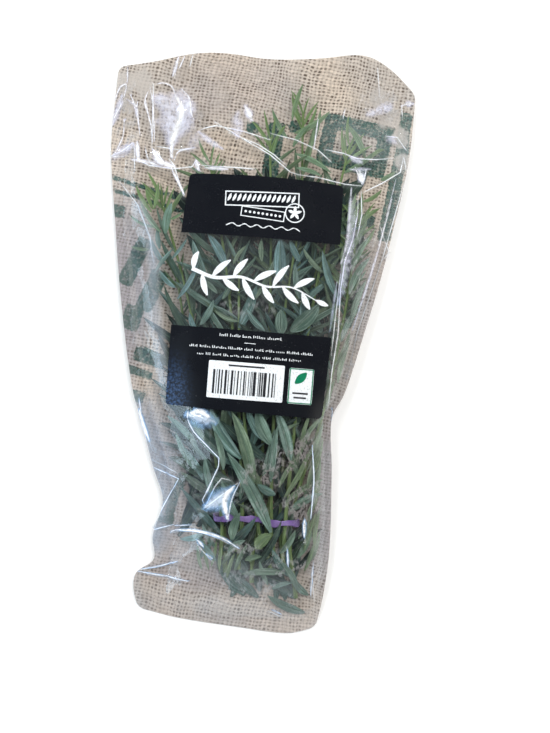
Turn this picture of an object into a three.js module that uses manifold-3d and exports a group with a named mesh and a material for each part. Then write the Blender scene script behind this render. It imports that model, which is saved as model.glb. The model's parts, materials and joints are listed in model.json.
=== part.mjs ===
// A bunch of fresh tarragon packed in a flat, tapered film sleeve, lying on its back.
// The sleeve is two webs of film welded at the sides and the foot: a printed back web and a clear front web.
// Inside, cut sprigs are gathered by a rubber band near the foot. A label is stuck on the front web.
// Millimetres. +X is to the right of the label, +Y towards the mouth of the sleeve, +Z up.
// The origin is at the middle of the sleeve, on the surface that it lies on.
import * as THREE from "three";
import { mergeVertices } from "three/addons/utils/BufferGeometryUtils.js";
import Module from "manifold-3d";

const wasm = await Module();
wasm.setup();

// ---- Driving dimensions ----
const FILM = 0.5; // web thickness, thickened from about 0.04 so that the web is a sound solid
const SEAM_GAP = 0.3; // between the webs where they are welded
const WELD = 0.94; // the side welds start at this share of the half width
const SEALED_BELOW = -136; // the foot weld runs from here down

// The sleeve's side edges: [y, x] from foot to mouth. The film is drawn in where it wraps the gathered stems.
const LEFT_EDGE = [
  [-142, -37], [-134, -43], [-118, -45], [-111, -36], [-100, -38], [-82, -34], [-66, -40],
  [-45, -47], [-29, -53], [14, -62], [52, -68], [86, -72.7], [110, -72.8], [142, -72],
];
const RIGHT_EDGE = [
  [-142, 44], [-124, 47], [-100, 48.5], [-60, 46.5], [-35, 44.5], [-24, 49.5],
  [9, 57.5], [34, 63], [63, 68], [90, 72], [110, 73], [142, 73],
];
// The foot and the mouth edges: [u, y], where u runs from -1 at the left edge to 1 at the right edge.
const FOOT_EDGE = [[-1, -135], [-0.6, -138.5], [0.1, -140.8], [0.7, -141.9], [1, -138]];
const MOUTH_EDGE = [
  [-1, 127.5], [-0.78, 131], [-0.5, 136.5], [-0.28, 138], [0, 137],
  [0.35, 139], [0.64, 142], [0.82, 136.5], [1, 125],
];
// How far apart the webs stand at the fullest, [y, height], and where the filling ends at the left, [y, x].
const FILL = [
  [-142, 0], [SEALED_BELOW, 0], [-127, 6], [-114, 11], [-100, 14.5], [-87, 16.3], [-60, 20.5], [-30, 23],
  [0, 22.5], [40, 19], [70, 15.5], [95, 11.5], [115, 7.5], [130, 3.5], [142, 1.2],
];
const FILL_LEFT = [
  [-142, -32], [-112, -28], [-87, -27], [-60, -36], [-30, -47], [10, -57], [60, -64], [142, -67],
];
const FILL_ROUND = 0.65; // how soon the front web climbs from the filling's sides
const RISE = 0.22; // the side welds stand this share of the filling off the surface
const FLAT_SHARE = 0.5; // the back web lies flat to this share of its half width
const CURL = { height: 2.4, from: 112, to: 142, wave: 72 }; // the mouth's lips lift in soft waves
const WEB_COLUMNS = [-1, -WELD, -0.78, -0.6, -0.4, -0.2, 0, 0.2, 0.4, 0.6, 0.78, WELD, 1];
const WEB_ROWS = 25;

const LABEL = {
  x: 2.4, y: 21, width: 75, length: 111, thick: 0.4, corner: 1.2,
  gap: 0.6, // over the front web, which bulges between its own flat facets
  columns: 13, rows: 9,
};
const BAND = { x: 12, y: -87, z: 7.4, halfWidth: 21, halfHeight: 5.6, thick: 1, width: 3.2 };

// Each sprig: its cut end, its place in the band (layer 0 is the lowest), its tip, its bow to the side,
// and how high its tip lies between the webs.
const SPRIGS = [
  { foot: [-4, -106], band: -5, layer: 1, tip: [-47, 66], bow: 5, lift: 0.55 },
  { foot: [5, -112], band: 3, layer: 0, tip: [-36, 28], bow: -4, lift: 0.25 },
  { foot: [3, -103], band: 5, layer: 2, tip: [-24, 84], bow: 4, lift: 0.7 },
  { foot: [12, -118], band: 9.5, layer: 0, tip: [-10, 60], bow: -6, lift: 0.2 },
  { foot: [11, -108], band: 12, layer: 1, tip: [4, 98], bow: 3, lift: 0.5 },
  { foot: [15, -101], band: 12.5, layer: 2, tip: [-6, 36], bow: -3, lift: 0.85 },
  { foot: [21, -113], band: 17, layer: 0, tip: [19, 112], bow: 5, lift: 0.45 },
  { foot: [22, -105], band: 19, layer: 2, tip: [22, 62], bow: -4, lift: 0.82 },
  { foot: [27, -110], band: 23.5, layer: 0, tip: [32, 40], bow: -4, lift: 0.3 },
  { foot: [26.5, -101], band: 26, layer: 2, tip: [43, 98], bow: -5, lift: 0.6 },
  { foot: [34, -124], band: 28.5, layer: 1, tip: [50, 62], bow: 4, lift: 0.5 },
  { foot: [-1, -114], band: -4.5, layer: 0, tip: [-30, -16], bow: -3, lift: 0.4 },
];
const LAYER_HEIGHTS = [4.3, 7.4, 10.4]; // above the surface, inside the band
const STEM = { footRadius: 1.15, tipRadius: 0.55, sides: 4, rings: 10, footLift: 0.5 };

// Ranges are [low, high] for a random draw. Angles are in degrees.
const LEAF = {
  spacing: 7.2, // between leaves along a stem
  along: [0.05, 0.94], // where they start and end on it
  length: 36, // a full grown leaf
  grown: [[0, 0.86], [0.3, 1], [0.55, 1], [1, 0.62]], // its length along the stem
  spread: [0.72, 1.22], // its length against its neighbours'
  opening: [16, 58], // from the stem
  bend: [-34, 30], // in its own plane
  halfWidth: 0.063, // as a share of its length
  widthSpread: [0.8, 1.15],
  keel: 0.8, // depth of the midrib under the blade
  roll: [-42, 42],
  rollRoom: 14, // the webs must stand this far apart for the whole roll
  drift: [-0.75, 0.75], // of its height share, from root to tip
  shares: [0.07, 0.93], // of the height between the webs, that its tip may lie at
  stations: [0, 0.3, 0.68, 1],
  widths: [0.3, 1, 0.82, 0],
  tries: 18,
  shrink: 0.955, // each try is shorter than the last
};
const ROSETTE = { count: 6, length: 15, along: [0.955, 0.995], opening: [4, 38] }; // at a stem's tip
const FILLED = { from: SEALED_BELOW + 2, to: 128, width: WELD - 0.03 }; // where leaves may lie
const CLEARANCE = { film: 0.4, leaf: 0.3, corner: 0.008 };
const SEEDS = { perSprig: 100, perLeaf: 64 };
const MERGE = 1e-4; // corners closer than this are one

// ---- Small helpers ----
// A seeded random number from 0 to 1: each call of the returned function gives the next one.
function randomFrom(seed) {
  let state = seed >>> 0;
  return () => {
    state = (state + 0x6d2b79f5) >>> 0;
    let t = Math.imul(state ^ (state >>> 15), state | 1);
    t = (t + Math.imul(t ^ (t >>> 7), t | 61)) ^ t;
    return ((t ^ (t >>> 14)) >>> 0) / 4294967296;
  };
}

// A smooth function through [x, value] points, level beyond its ends.
function through(points) {
  const slopeAt = (i) => {
    const a = points[Math.max(i - 1, 0)];
    const b = points[Math.min(i + 1, points.length - 1)];
    return (b[1] - a[1]) / (b[0] - a[0]);
  };
  return (x) => {
    if (x <= points[0][0]) return points[0][1];
    if (x >= points.at(-1)[0]) return points.at(-1)[1];
    let i = 0;
    while (x > points[i + 1][0]) i++;
    const step = points[i + 1][0] - points[i][0];
    const t = (x - points[i][0]) / step;
    const rise = points[i + 1][1] - points[i][1];
    const m0 = slopeAt(i) * step;
    const m1 = slopeAt(i + 1) * step;
    return points[i][1] + m0 * t + (3 * rise - 2 * m0 - m1) * t * t + (m0 + m1 - 2 * rise) * t * t * t;
  };
}

const mix = (a, b, t) => a + (b - a) * t;
const clamp = (v, low, high) => Math.min(Math.max(v, low), high);
const smooth = (v, from, to) => {
  const t = clamp((v - from) / (to - from), 0, 1);
  return t * t * (3 - 2 * t);
};

// ---- The sleeve's form ----
const leftEdge = through(LEFT_EDGE);
const rightEdge = through(RIGHT_EDGE);
const footEdge = through(FOOT_EDGE);
const mouthEdge = through(MOUTH_EDGE);
const fill = through(FILL);
const fillLeft = through(FILL_LEFT);

// Where x lies across the sleeve at y: -1 at the left edge, 1 at the right edge.
const across = (x, y) => (2 * x - leftEdge(y) - rightEdge(y)) / (rightEdge(y) - leftEdge(y));

function underside(x, y) {
  const side = smooth(Math.abs(across(x, y)), FLAT_SHARE, 1);
  const curl = (1 - Math.cos((2 * Math.PI * x) / CURL.wave)) / 2;
  return RISE * Math.max(fill(y), 0) * side + CURL.height * curl * smooth(y, CURL.from, CURL.to);
}

function roomOver(x, y) {
  const left = fillLeft(y);
  const right = mix(leftEdge(y), rightEdge(y), (WELD + 1) / 2);
  const u = (2 * x - left - right) / (right - left);
  return Math.abs(u) < 1 ? Math.max(fill(y), 0) * (1 - u * u) ** FILL_ROUND : 0;
}

const backTop = (x, y) => underside(x, y) + FILM;
const frontBottom = (x, y) => backTop(x, y) + SEAM_GAP + roomOver(x, y);
const heightAt = (x, y, share) => mix(backTop(x, y), frontBottom(x, y), share);
const shareAt = (x, y, z) => (z - backTop(x, y)) / (frontBottom(x, y) - backTop(x, y));

// ---- Solids ----
// A closed geometry from rings of points: each ring is joined to the next, and the ends are capped.
function loft(rings, tip) {
  const sides = rings[0].length;
  const points = rings.flat();
  const faces = [];
  for (let r = 0; r + 1 < rings.length; r++)
    for (let i = 0; i < sides; i++) {
      const a = r * sides + i;
      const b = r * sides + ((i + 1) % sides);
      faces.push(a, b, b + sides, a, b + sides, a + sides);
    }
  for (let i = 1; i + 1 < sides; i++) faces.push(0, i + 1, i);
  const last = (rings.length - 1) * sides;
  if (tip) {
    points.push(tip);
    for (let i = 0; i < sides; i++) faces.push(last + i, last + ((i + 1) % sides), points.length - 1);
  } else for (let i = 1; i + 1 < sides; i++) faces.push(last, last + i, last + i + 1);
  return geometryOf(points, faces);
}

function geometryOf(points, faces) {
  const geometry = new THREE.BufferGeometry();
  geometry.setAttribute("position", new THREE.Float32BufferAttribute(points.flat(), 3));
  geometry.setIndex(faces);
  return geometry;
}

// A sheet of even thickness over a grid: place(i, j) gives the underside's point.
function sheet(columns, rows, place, thickness) {
  const points = [];
  for (const lift of [0, thickness])
    for (let j = 0; j < rows; j++)
      for (let i = 0; i < columns; i++) {
        const [x, y, z] = place(i, j);
        points.push([x, y, z + lift]);
      }
  const top = columns * rows;
  const faces = [];
  const quad = (a, b, c, d) => faces.push(a, b, c, a, c, d);
  for (let j = 0; j + 1 < rows; j++)
    for (let i = 0; i + 1 < columns; i++) {
      const a = j * columns + i;
      quad(a + top, a + 1 + top, a + columns + 1 + top, a + columns + top);
      quad(a, a + columns, a + columns + 1, a + 1);
    }
  const rim = [];
  for (let i = 0; i < columns; i++) rim.push(i);
  for (let j = 1; j < rows; j++) rim.push(j * columns + columns - 1);
  for (let i = columns - 2; i >= 0; i--) rim.push((rows - 1) * columns + i);
  for (let j = rows - 2; j > 0; j--) rim.push(j * columns);
  rim.forEach((a, k) => {
    const b = rim[(k + 1) % rim.length];
    quad(a, b, b + top, a + top);
  });
  return geometryOf(points, faces);
}

function solidOf(geometry) {
  const merged = mergeVertices(geometry, MERGE);
  return new wasm.Manifold(
    new wasm.Mesh({
      numProp: 3,
      vertProperties: merged.attributes.position.array,
      triVerts: new Uint32Array(merged.index.array),
    }),
  );
}

function geometryFrom(solid) {
  const mesh = solid.getMesh();
  const geometry = new THREE.BufferGeometry();
  geometry.setAttribute("position", new THREE.BufferAttribute(mesh.vertProperties, 3));
  geometry.setIndex(new THREE.BufferAttribute(mesh.triVerts, 1));
  return geometry;
}

// ---- Webs and label ----
function web(heightOf) {
  const place = (i, j) => {
    const u = WEB_COLUMNS[i];
    const y = mix(footEdge(u), mouthEdge(u), j / (WEB_ROWS - 1));
    const x = mix(leftEdge(y), rightEdge(y), (u + 1) / 2);
    return [x, y, heightOf(x, y)];
  };
  return sheet(WEB_COLUMNS.length, WEB_ROWS, place, FILM);
}

function labelSheet() {
  const { columns, rows } = LABEL;
  const place = (i, j) => {
    const corner = i % (columns - 1) === 0 && j % (rows - 1) === 0 ? LABEL.corner : 0;
    const a = i / (columns - 1) - 0.5;
    const b = j / (rows - 1) - 0.5;
    const x = LABEL.x + a * (LABEL.width - 2 * corner);
    const y = LABEL.y + b * (LABEL.length - 2 * corner);
    return [x, y, frontBottom(x, y) + FILM + LABEL.gap];
  };
  return sheet(columns, rows, place, LABEL.thick);
}

// ---- Rubber band ----
function bandRing() {
  const oval = (halfWidth, halfHeight, Kind) => {
    const path = new Kind();
    const straight = halfWidth - halfHeight;
    path.absarc(straight, 0, halfHeight, -Math.PI / 2, Math.PI / 2, false);
    path.absarc(-straight, 0, halfHeight, Math.PI / 2, (3 * Math.PI) / 2, false);
    path.closePath();
    return path;
  };
  const outline = oval(BAND.halfWidth, BAND.halfHeight, THREE.Shape);
  outline.holes.push(oval(BAND.halfWidth - BAND.thick, BAND.halfHeight - BAND.thick, THREE.Path));
  const extent = { depth: BAND.width, bevelEnabled: false, curveSegments: 8 };
  const ring = new THREE.ExtrudeGeometry(outline, extent);
  ring.deleteAttribute("normal");
  ring.deleteAttribute("uv");
  ring.rotateX(Math.PI / 2).translate(BAND.x, BAND.y + BAND.width / 2, BAND.z);
  return mergeVertices(ring, MERGE);
}

// ---- Stems ----
function stemCurve(sprig) {
  const [footX, footY] = sprig.foot;
  const [tipX, tipY] = sprig.tip;
  const bandZ = LAYER_HEIGHTS[sprig.layer];
  const bandLift = shareAt(sprig.band, BAND.y, bandZ);
  const points = [
    [footX, footY, heightAt(footX, footY, STEM.footLift)],
    [sprig.band, BAND.y, bandZ],
  ];
  for (const t of [1 / 3, 2 / 3, 1]) {
    const x = mix(sprig.band, tipX, t) + sprig.bow * Math.sin(Math.PI * t);
    const y = mix(BAND.y, tipY, t);
    points.push([x, y, heightAt(x, y, mix(bandLift, sprig.lift, t))]);
  }
  return new THREE.CatmullRomCurve3(
    points.map((p) => new THREE.Vector3(...p)),
    false,
    "catmullrom",
    0.5,
  );
}

function stemSolid(curve) {
  const rings = [];
  for (let r = 0; r < STEM.rings; r++) {
    const t = r / (STEM.rings - 1);
    const centre = curve.getPoint(t);
    const ahead = curve.getTangent(t);
    const side = new THREE.Vector3(-ahead.y, ahead.x, 0).normalize();
    const up = new THREE.Vector3().crossVectors(ahead, side).normalize();
    const radius = mix(STEM.footRadius, STEM.tipRadius, t);
    const ring = [];
    for (let i = 0; i < STEM.sides; i++) {
      const angle = (2 * Math.PI * i) / STEM.sides;
      const p = centre.clone();
      p.addScaledVector(side, radius * Math.cos(angle));
      p.addScaledVector(up, radius * Math.sin(angle));
      ring.push(p.toArray());
    }
    rings.push(ring);
  }
  return solidOf(loft(rings));
}

// ---- Leaves ----
const grownLength = through(LEAF.grown);
const radians = THREE.MathUtils.degToRad;

// Where the leaves of a stem start, as shares of its curve, with the rosette's leaves at the tip.
function leafSlots(curve) {
  const count = Math.floor(curve.getLength() / LEAF.spacing);
  const row = (n, [from, to], rosette) =>
    Array.from({ length: n }, (_, k) => ({ t: mix(from, to, k / (n - 1)), side: k % 2 ? 1 : -1, rosette }));
  return [...row(count, LEAF.along, false), ...row(ROSETTE.count, ROSETTE.along, true)];
}

// One try at a leaf: its sections from root to tip, each with its place, heading, half width and roll.
function leafTry(curve, slot, seed, attempt) {
  const random = randomFrom(seed * SEEDS.perLeaf + attempt);
  const draw = ([low, high]) => mix(low, high, random());
  const root = curve.getPoint(slot.t);
  const ahead = curve.getTangent(slot.t);
  const side = attempt % 3 === 2 ? -slot.side : slot.side;
  const opening = draw(slot.rosette ? ROSETTE.opening : LEAF.opening);
  const bend = radians(draw(LEAF.bend)) * side;
  const full = slot.rosette ? ROSETTE.length : LEAF.length * grownLength(slot.t);
  const length = full * draw(LEAF.spread) * LEAF.shrink ** attempt;
  const rootShare = shareAt(root.x, root.y, root.z);
  const tipShare = clamp(rootShare + draw(LEAF.drift), ...LEAF.shares);
  const room = frontBottom(root.x, root.y) - backTop(root.x, root.y);
  const roll = radians(draw(LEAF.roll)) * Math.min(1, room / LEAF.rollRoom);
  const halfWidth = length * LEAF.halfWidth * draw(LEAF.widthSpread);
  const start = Math.atan2(ahead.y, ahead.x) + radians(opening) * side;
  const sections = [];
  let { x, y } = root;
  LEAF.stations.forEach((s, k) => {
    const before = k ? LEAF.stations[k - 1] : 0;
    const heading = start + (bend * (s + before)) / 2;
    x += Math.cos(heading) * length * (s - before);
    y += Math.sin(heading) * length * (s - before);
    const share = mix(rootShare, tipShare, smooth(s, 0, 1));
    sections.push({ x, y, share, heading, half: halfWidth * LEAF.widths[k], roll });
  });
  return sections;
}

// The three corners of a section: both edges of the blade, and the keel under its midrib.
function corners(section, grow = 0) {
  const { x, y, share, heading, roll } = section;
  const half = section.half + grow;
  const sideX = -Math.sin(heading) * Math.cos(roll);
  const sideY = Math.cos(heading) * Math.cos(roll);
  const edge = (reach) => {
    const ex = x + sideX * reach;
    const ey = y + sideY * reach;
    return [ex, ey, heightAt(ex, ey, share) + Math.sin(roll) * reach];
  };
  const depth = LEAF.keel + grow;
  const keel = [
    x - Math.sin(heading) * Math.sin(roll) * depth,
    y + Math.cos(heading) * Math.sin(roll) * depth,
    heightAt(x, y, share) - Math.cos(roll) * depth,
  ];
  return grow
    ? [edge(-half), keel, edge(half), [x, y, heightAt(x, y, share) + grow]]
    : [edge(-half), keel, edge(half)];
}

// The leaf's solid, from one of its sections to the tip, and fatter by grow.
function leafSolid(sections, grow = 0, from = 0) {
  const rings = sections.slice(from, -1).map((section) => corners(section, grow));
  const last = sections.at(-1);
  const tipX = last.x + Math.cos(last.heading) * grow;
  const tipY = last.y + Math.sin(last.heading) * grow;
  return solidOf(loft(rings, [tipX, tipY, heightAt(tipX, tipY, last.share)]));
}

function insideSleeve(sections) {
  return sections.every((section) =>
    corners(section).every(([x, y, z]) => {
      if (Math.abs(across(x, y)) > FILLED.width || y < FILLED.from || y > FILLED.to) return false;
      return z > backTop(x, y) + CLEARANCE.film && z < frontBottom(x, y) - CLEARANCE.film;
    }),
  );
}

// Joins two solids, or gives null where the seam would leave corners too close together to keep apart.
function joined(a, b) {
  const both = a.add(b);
  const { vertProperties: v, numVert } = both.getMesh();
  const order = Array.from({ length: numVert }, (_, i) => i).sort((i, j) => v[3 * i] - v[3 * j]);
  for (let i = 0; i < numVert; i++)
    for (let j = i + 1; j < numVert; j++) {
      const [p, q] = [3 * order[i], 3 * order[j]];
      if (v[q] - v[p] > CLEARANCE.corner) break;
      if (Math.hypot(v[q] - v[p], v[q + 1] - v[p + 1], v[q + 2] - v[p + 2]) < CLEARANCE.corner) return null;
    }
  return both;
}

const apart = (a, b) =>
  a.min.some((low, k) => low > b.max[k]) || a.max.some((high, k) => high < b.min[k]);

function meets(solid, others) {
  const box = solid.boundingBox();
  return others.some((other) => {
    if (apart(box, other.box)) return false;
    const common = solid.intersect(other.solid);
    const hit = !common.isEmpty();
    common.delete();
    return hit;
  });
}

// ---- Growing the sprigs ----
const keep = (solid) => ({ solid, box: solid.boundingBox() });

// The solid of one try at a leaf, or null unless it is clear of the sleeve, of the strangers and,
// past its root, of the sprig's own leaves.
function freeLeaf(curve, slot, seed, attempt, strangers, siblings) {
  const sections = leafTry(curve, slot, seed, attempt);
  if (!insideSleeve(sections)) return null;
  const whole = leafSolid(sections, CLEARANCE.leaf);
  const outer = leafSolid(sections, CLEARANCE.leaf, 1);
  const blocked = meets(whole, strangers) || meets(outer, siblings);
  whole.delete();
  outer.delete();
  return blocked ? null : leafSolid(sections);
}

function growSprigs(webs) {
  const curves = SPRIGS.map(stemCurve);
  const stems = curves.map((curve) => keep(stemSolid(curve)));
  const sprigs = stems.map((stem) => stem.solid);
  const leaves = curves.map(() => []);
  const fixed = [bandRing(), ...webs].map((geometry) => keep(solidOf(geometry)));
  const slots = curves.map(leafSlots);
  const turns = Math.max(...slots.map((list) => list.length));
  // Leaves are placed one per sprig in turn, tips first, so that no sprig takes all the room.
  for (let turn = 0; turn < turns; turn++)
    for (let s = 0; s < SPRIGS.length; s++) {
      const index = slots[s].length - 1 - turn;
      if (index < 0) continue;
      const others = (lists) => lists.filter((_, k) => k !== s).flat();
      const strangers = [...fixed, ...others(stems), ...others(leaves)];
      for (let attempt = 0; attempt < LEAF.tries; attempt++) {
        const seed = s * SEEDS.perSprig + index;
        const leaf = freeLeaf(curves[s], slots[s][index], seed, attempt, strangers, leaves[s]);
        const grown = leaf && joined(sprigs[s], leaf);
        if (!grown) continue;
        sprigs[s] = grown;
        leaves[s].push(keep(leaf));
        break;
      }
    }
  return sprigs;
}

// ---- The object ----
const finish = {
  back: new THREE.MeshStandardMaterial({ color: 0xc2ab8d, roughness: 0.45 }),
  front: new THREE.MeshStandardMaterial({
    color: 0xe9eef0, roughness: 0.12, transparent: true, opacity: 0.25,
  }),
  label: new THREE.MeshStandardMaterial({ color: 0x16171c, roughness: 0.4 }),
  band: new THREE.MeshStandardMaterial({ color: 0x7a5aa8, roughness: 0.6 }),
  herb: new THREE.MeshStandardMaterial({ color: 0x54734a, roughness: 0.6 }),
};

const packet = new THREE.Group();

function add(name, geometry, material) {
  const mesh = new THREE.Mesh(geometry, material);
  mesh.name = name;
  packet.add(mesh);
}

const backWeb = web(underside);
const frontWeb = web(frontBottom);
add("back_film", backWeb, finish.back);
add("front_film", frontWeb, finish.front);
add("label", labelSheet(), finish.label);
add("rubber_band", bandRing(), finish.band);
growSprigs([backWeb, frontWeb]).forEach((sprig, k) => {
  add(`sprig_${String(k + 1).padStart(2, "0")}`, geometryFrom(sprig), finish.herb);
});

export default packet;
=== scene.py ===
# A bunch of fresh tarragon packed in a flat film sleeve: a printed back web, a crinkled clear front web,
# a stuck-on label, a rubber band and twelve cut sprigs.
# Values are in millimetres unless a note says otherwise, and are turned into metres where meshes are made.
import math

import bpy
import numpy as np
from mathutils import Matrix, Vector, kdtree, noise
from mathutils.bvhtree import BVHTree
from mathutils.geometry import delaunay_2d_cdt
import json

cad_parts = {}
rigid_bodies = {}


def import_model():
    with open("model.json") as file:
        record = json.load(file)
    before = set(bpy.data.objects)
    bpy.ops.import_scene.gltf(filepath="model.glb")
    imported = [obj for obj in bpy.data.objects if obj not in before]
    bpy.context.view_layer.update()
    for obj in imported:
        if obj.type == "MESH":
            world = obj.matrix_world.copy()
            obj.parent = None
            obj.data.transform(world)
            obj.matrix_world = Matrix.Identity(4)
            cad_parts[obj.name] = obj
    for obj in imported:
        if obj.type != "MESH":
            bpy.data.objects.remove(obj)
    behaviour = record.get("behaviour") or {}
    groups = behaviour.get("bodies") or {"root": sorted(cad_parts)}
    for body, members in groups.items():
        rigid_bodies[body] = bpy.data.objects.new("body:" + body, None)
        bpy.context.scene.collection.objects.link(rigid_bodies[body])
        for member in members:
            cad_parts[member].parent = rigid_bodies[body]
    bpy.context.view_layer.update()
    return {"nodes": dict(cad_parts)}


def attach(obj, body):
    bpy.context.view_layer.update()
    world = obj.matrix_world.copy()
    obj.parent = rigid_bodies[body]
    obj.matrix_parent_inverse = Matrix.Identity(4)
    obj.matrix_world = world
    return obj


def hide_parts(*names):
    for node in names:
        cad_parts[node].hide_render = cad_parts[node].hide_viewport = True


bpy.ops.object.select_all(action="SELECT")
bpy.ops.object.delete()
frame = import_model()
bpy.ops.object.select_all(action="DESELECT")
bpy.context.scene.view_settings.view_transform = "Standard"
print("frame loaded:", len(frame["nodes"]), "nodes")

mm = 0.001


def mix(a, b, t):
    return a + (b - a) * t


def clamp(value, low, high):
    return min(max(value, low), high)


def smooth(value, low, high):
    t = clamp((value - low) / (high - low), 0, 1)
    return t * t * (3 - 2 * t)


def randomFrom(seed):
    # the same draws as the sprigs' solids use
    low32 = 0xFFFFFFFF
    state = seed & low32

    def draw():
        nonlocal state
        state = (state + 0x6D2B79F5) & low32
        t = ((state ^ (state >> 15)) * (state | 1)) & low32
        t = ((t + (((t ^ (t >> 7)) * (t | 61)) & low32)) ^ t) & low32
        return ((t ^ (t >> 14)) & low32) / 4294967296

    return draw


def through(points):
    # a smooth function through (x, value) points, level beyond its ends
    last = len(points) - 1

    def slopeAt(i):
        a, b = points[max(i - 1, 0)], points[min(i + 1, last)]
        return (b[1] - a[1]) / (b[0] - a[0])

    def value(x):
        if x <= points[0][0]:
            return points[0][1]
        if x >= points[last][0]:
            return points[last][1]
        i = 0
        while x > points[i + 1][0]:
            i += 1
        step = points[i + 1][0] - points[i][0]
        t = (x - points[i][0]) / step
        rise = points[i + 1][1] - points[i][1]
        m0, m1 = slopeAt(i) * step, slopeAt(i + 1) * step
        return points[i][1] + m0 * t + (3 * rise - 2 * m0 - m1) * t * t + (m0 + m1 - 2 * rise) * t * t * t

    return value


def ripple(x, y, wave, seed):
    # soft noise from -1 to 1 with bumps about as long as the wave
    return noise.noise(Vector((x / wave, y / wave, seed * 7.31)))


def turned(cx, cy, dx, dy, degrees):
    # the point that lies (dx, dy) from a middle, on axes turned by the degrees
    c, s = math.cos(math.radians(degrees)), math.sin(math.radians(degrees))
    return cx + dx * c - dy * s, cy + dx * s + dy * c


def onArc(cx, cy, radius, angle):
    return cx + radius * math.cos(angle), cy + radius * math.sin(angle)


def searchTree(points):
    tree = kdtree.KDTree(len(points))
    for k, p in enumerate(points):
        tree.insert(p, k)
    tree.balance()
    return tree


# Short ways to write a material, or the sky, as a tree of nodes.
class Nodes:
    def __init__(self, owner, shader="Principled BSDF"):
        owner.use_nodes = True
        self.owner = owner
        self.tree = owner.node_tree
        self.shader = self.tree.nodes[shader]

    def add(self, kind, **settings):
        made = self.tree.nodes.new(kind)
        for key, value in settings.items():
            setattr(made, key, value)
        return made

    def put(self, socket, value):
        if isinstance(value, bpy.types.NodeSocket):
            self.tree.links.new(value, socket)
        elif isinstance(value, tuple) and len(value) == 3 and socket.type == "RGBA":
            socket.default_value = (*value, 1)
        else:
            socket.default_value = value

    def fed(self, kind, values, **settings):
        # a node with its first inputs given in their order
        made = self.add(kind, **settings)
        for socket, value in zip(made.inputs, values):
            self.put(socket, value)
        return made

    def math(self, operation, *values, clamped=False):
        return self.fed("ShaderNodeMath", values, operation=operation, use_clamp=clamped).outputs[0]

    def vector(self, operation, *values, out=0):
        return self.fed("ShaderNodeVectorMath", values, operation=operation).outputs[out]

    def times(self, value, *factors):
        for factor in factors:
            value = self.math("MULTIPLY", value, factor)
        return value

    def plus(self, value, *more):
        for one in more:
            value = self.math("ADD", value, one)
        return value

    def scaled(self, value, factor, offset):
        return self.math("MULTIPLY_ADD", value, factor, offset)

    def ramp(self, value, low, high, to=(0, 1), kind="SMOOTHSTEP"):
        return self.fed("ShaderNodeMapRange", (value, low, high, *to), interpolation_type=kind).outputs[0]

    def blend(self, share, a, b, kind="MIX"):
        made = self.add("ShaderNodeMix", data_type="RGBA", blend_type=kind)
        for socket, value in ((made.inputs["Factor"], share), (made.inputs[6], a), (made.inputs[7], b)):
            self.put(socket, value)
        return made.outputs[2]

    def shaded(self, colour, value):
        # the colour made darker or lighter by the value
        grey = self.fed("ShaderNodeCombineColor", (value,) * 3)
        return self.blend(1.0, colour, grey.outputs[0], "MULTIPLY")

    def noise(self, vector, wave, detail=2.0, roughness=0.5, out=0):
        made = self.add("ShaderNodeTexNoise")
        self.put(made.inputs["Vector"], vector)
        made.inputs["Scale"].default_value = 1 / (wave * mm)
        made.inputs["Detail"].default_value = detail
        made.inputs["Roughness"].default_value = roughness
        return made.outputs[out]

    def swayed(self, moved, place, wave, reach, detail=2.0, roughness=0.5, centre=0.0):
        # a place moved sideways by soft noise
        sway = self.noise(place, wave, detail, roughness, "Color")
        sway = self.vector("SUBTRACT", sway, (centre,) * 3)
        return self.vector("ADD", moved, self.vector("MULTIPLY", sway, (reach * mm, reach * mm, 0)))

    def stretched(self, vector, scale, turn=0):
        made = self.add("ShaderNodeMapping")
        self.put(made.inputs["Vector"], vector)
        made.inputs["Rotation"].default_value = (0, 0, math.radians(turn))
        made.inputs["Scale"].default_value = scale
        return made.outputs[0]

    def place(self):
        return self.add("ShaderNodeTexCoord").outputs["Object"]

    def attribute(self, name):
        return self.add("ShaderNodeAttribute", attribute_name=name).outputs["Fac"]

    def parts(self, vector):
        return self.fed("ShaderNodeSeparateXYZ", (vector,)).outputs

    def joined(self, *values):
        return self.fed("ShaderNodeCombineXYZ", values).outputs[0]

    def bump(self, height, depth, strength=1.0):
        made = self.add("ShaderNodeBump")
        made.inputs["Strength"].default_value = strength
        made.inputs["Distance"].default_value = depth * mm
        self.put(made.inputs["Height"], height)
        self.put(self.shader.inputs["Normal"], made.outputs[0])

    def set(self, **values):
        for key, value in values.items():
            self.put(self.shader.inputs[key.replace("_", " ")], value)


def newMaterial(name):
    return Nodes(bpy.data.materials.new(name))


unscaled = 1000  # a noise wave that leaves the scale to the stretched place

# The camera looks straight down.
camera = {
    "target": (15.1, -12.5, 3.0),
    "distance": 720,
    "roll": 4.5,  # degrees
    "picture": 357,  # height that the picture takes in at the target
    "sensor": 36,
    "clip": 10,
}


def placeCamera():
    x, y, z = camera["target"]
    bpy.ops.object.camera_add(location=Vector((x, y, z + camera["distance"])) * mm)
    lens = bpy.context.object
    lens.name = "camera"
    lens.rotation_euler = (0, 0, math.radians(camera["roll"]))
    lens.data.sensor_fit = "VERTICAL"
    lens.data.sensor_height = camera["sensor"]
    lens.data.lens = camera["sensor"] * camera["distance"] / camera["picture"]
    lens.data.clip_start = camera["clip"] * mm
    bpy.context.scene.camera = lens
    return lens


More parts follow.
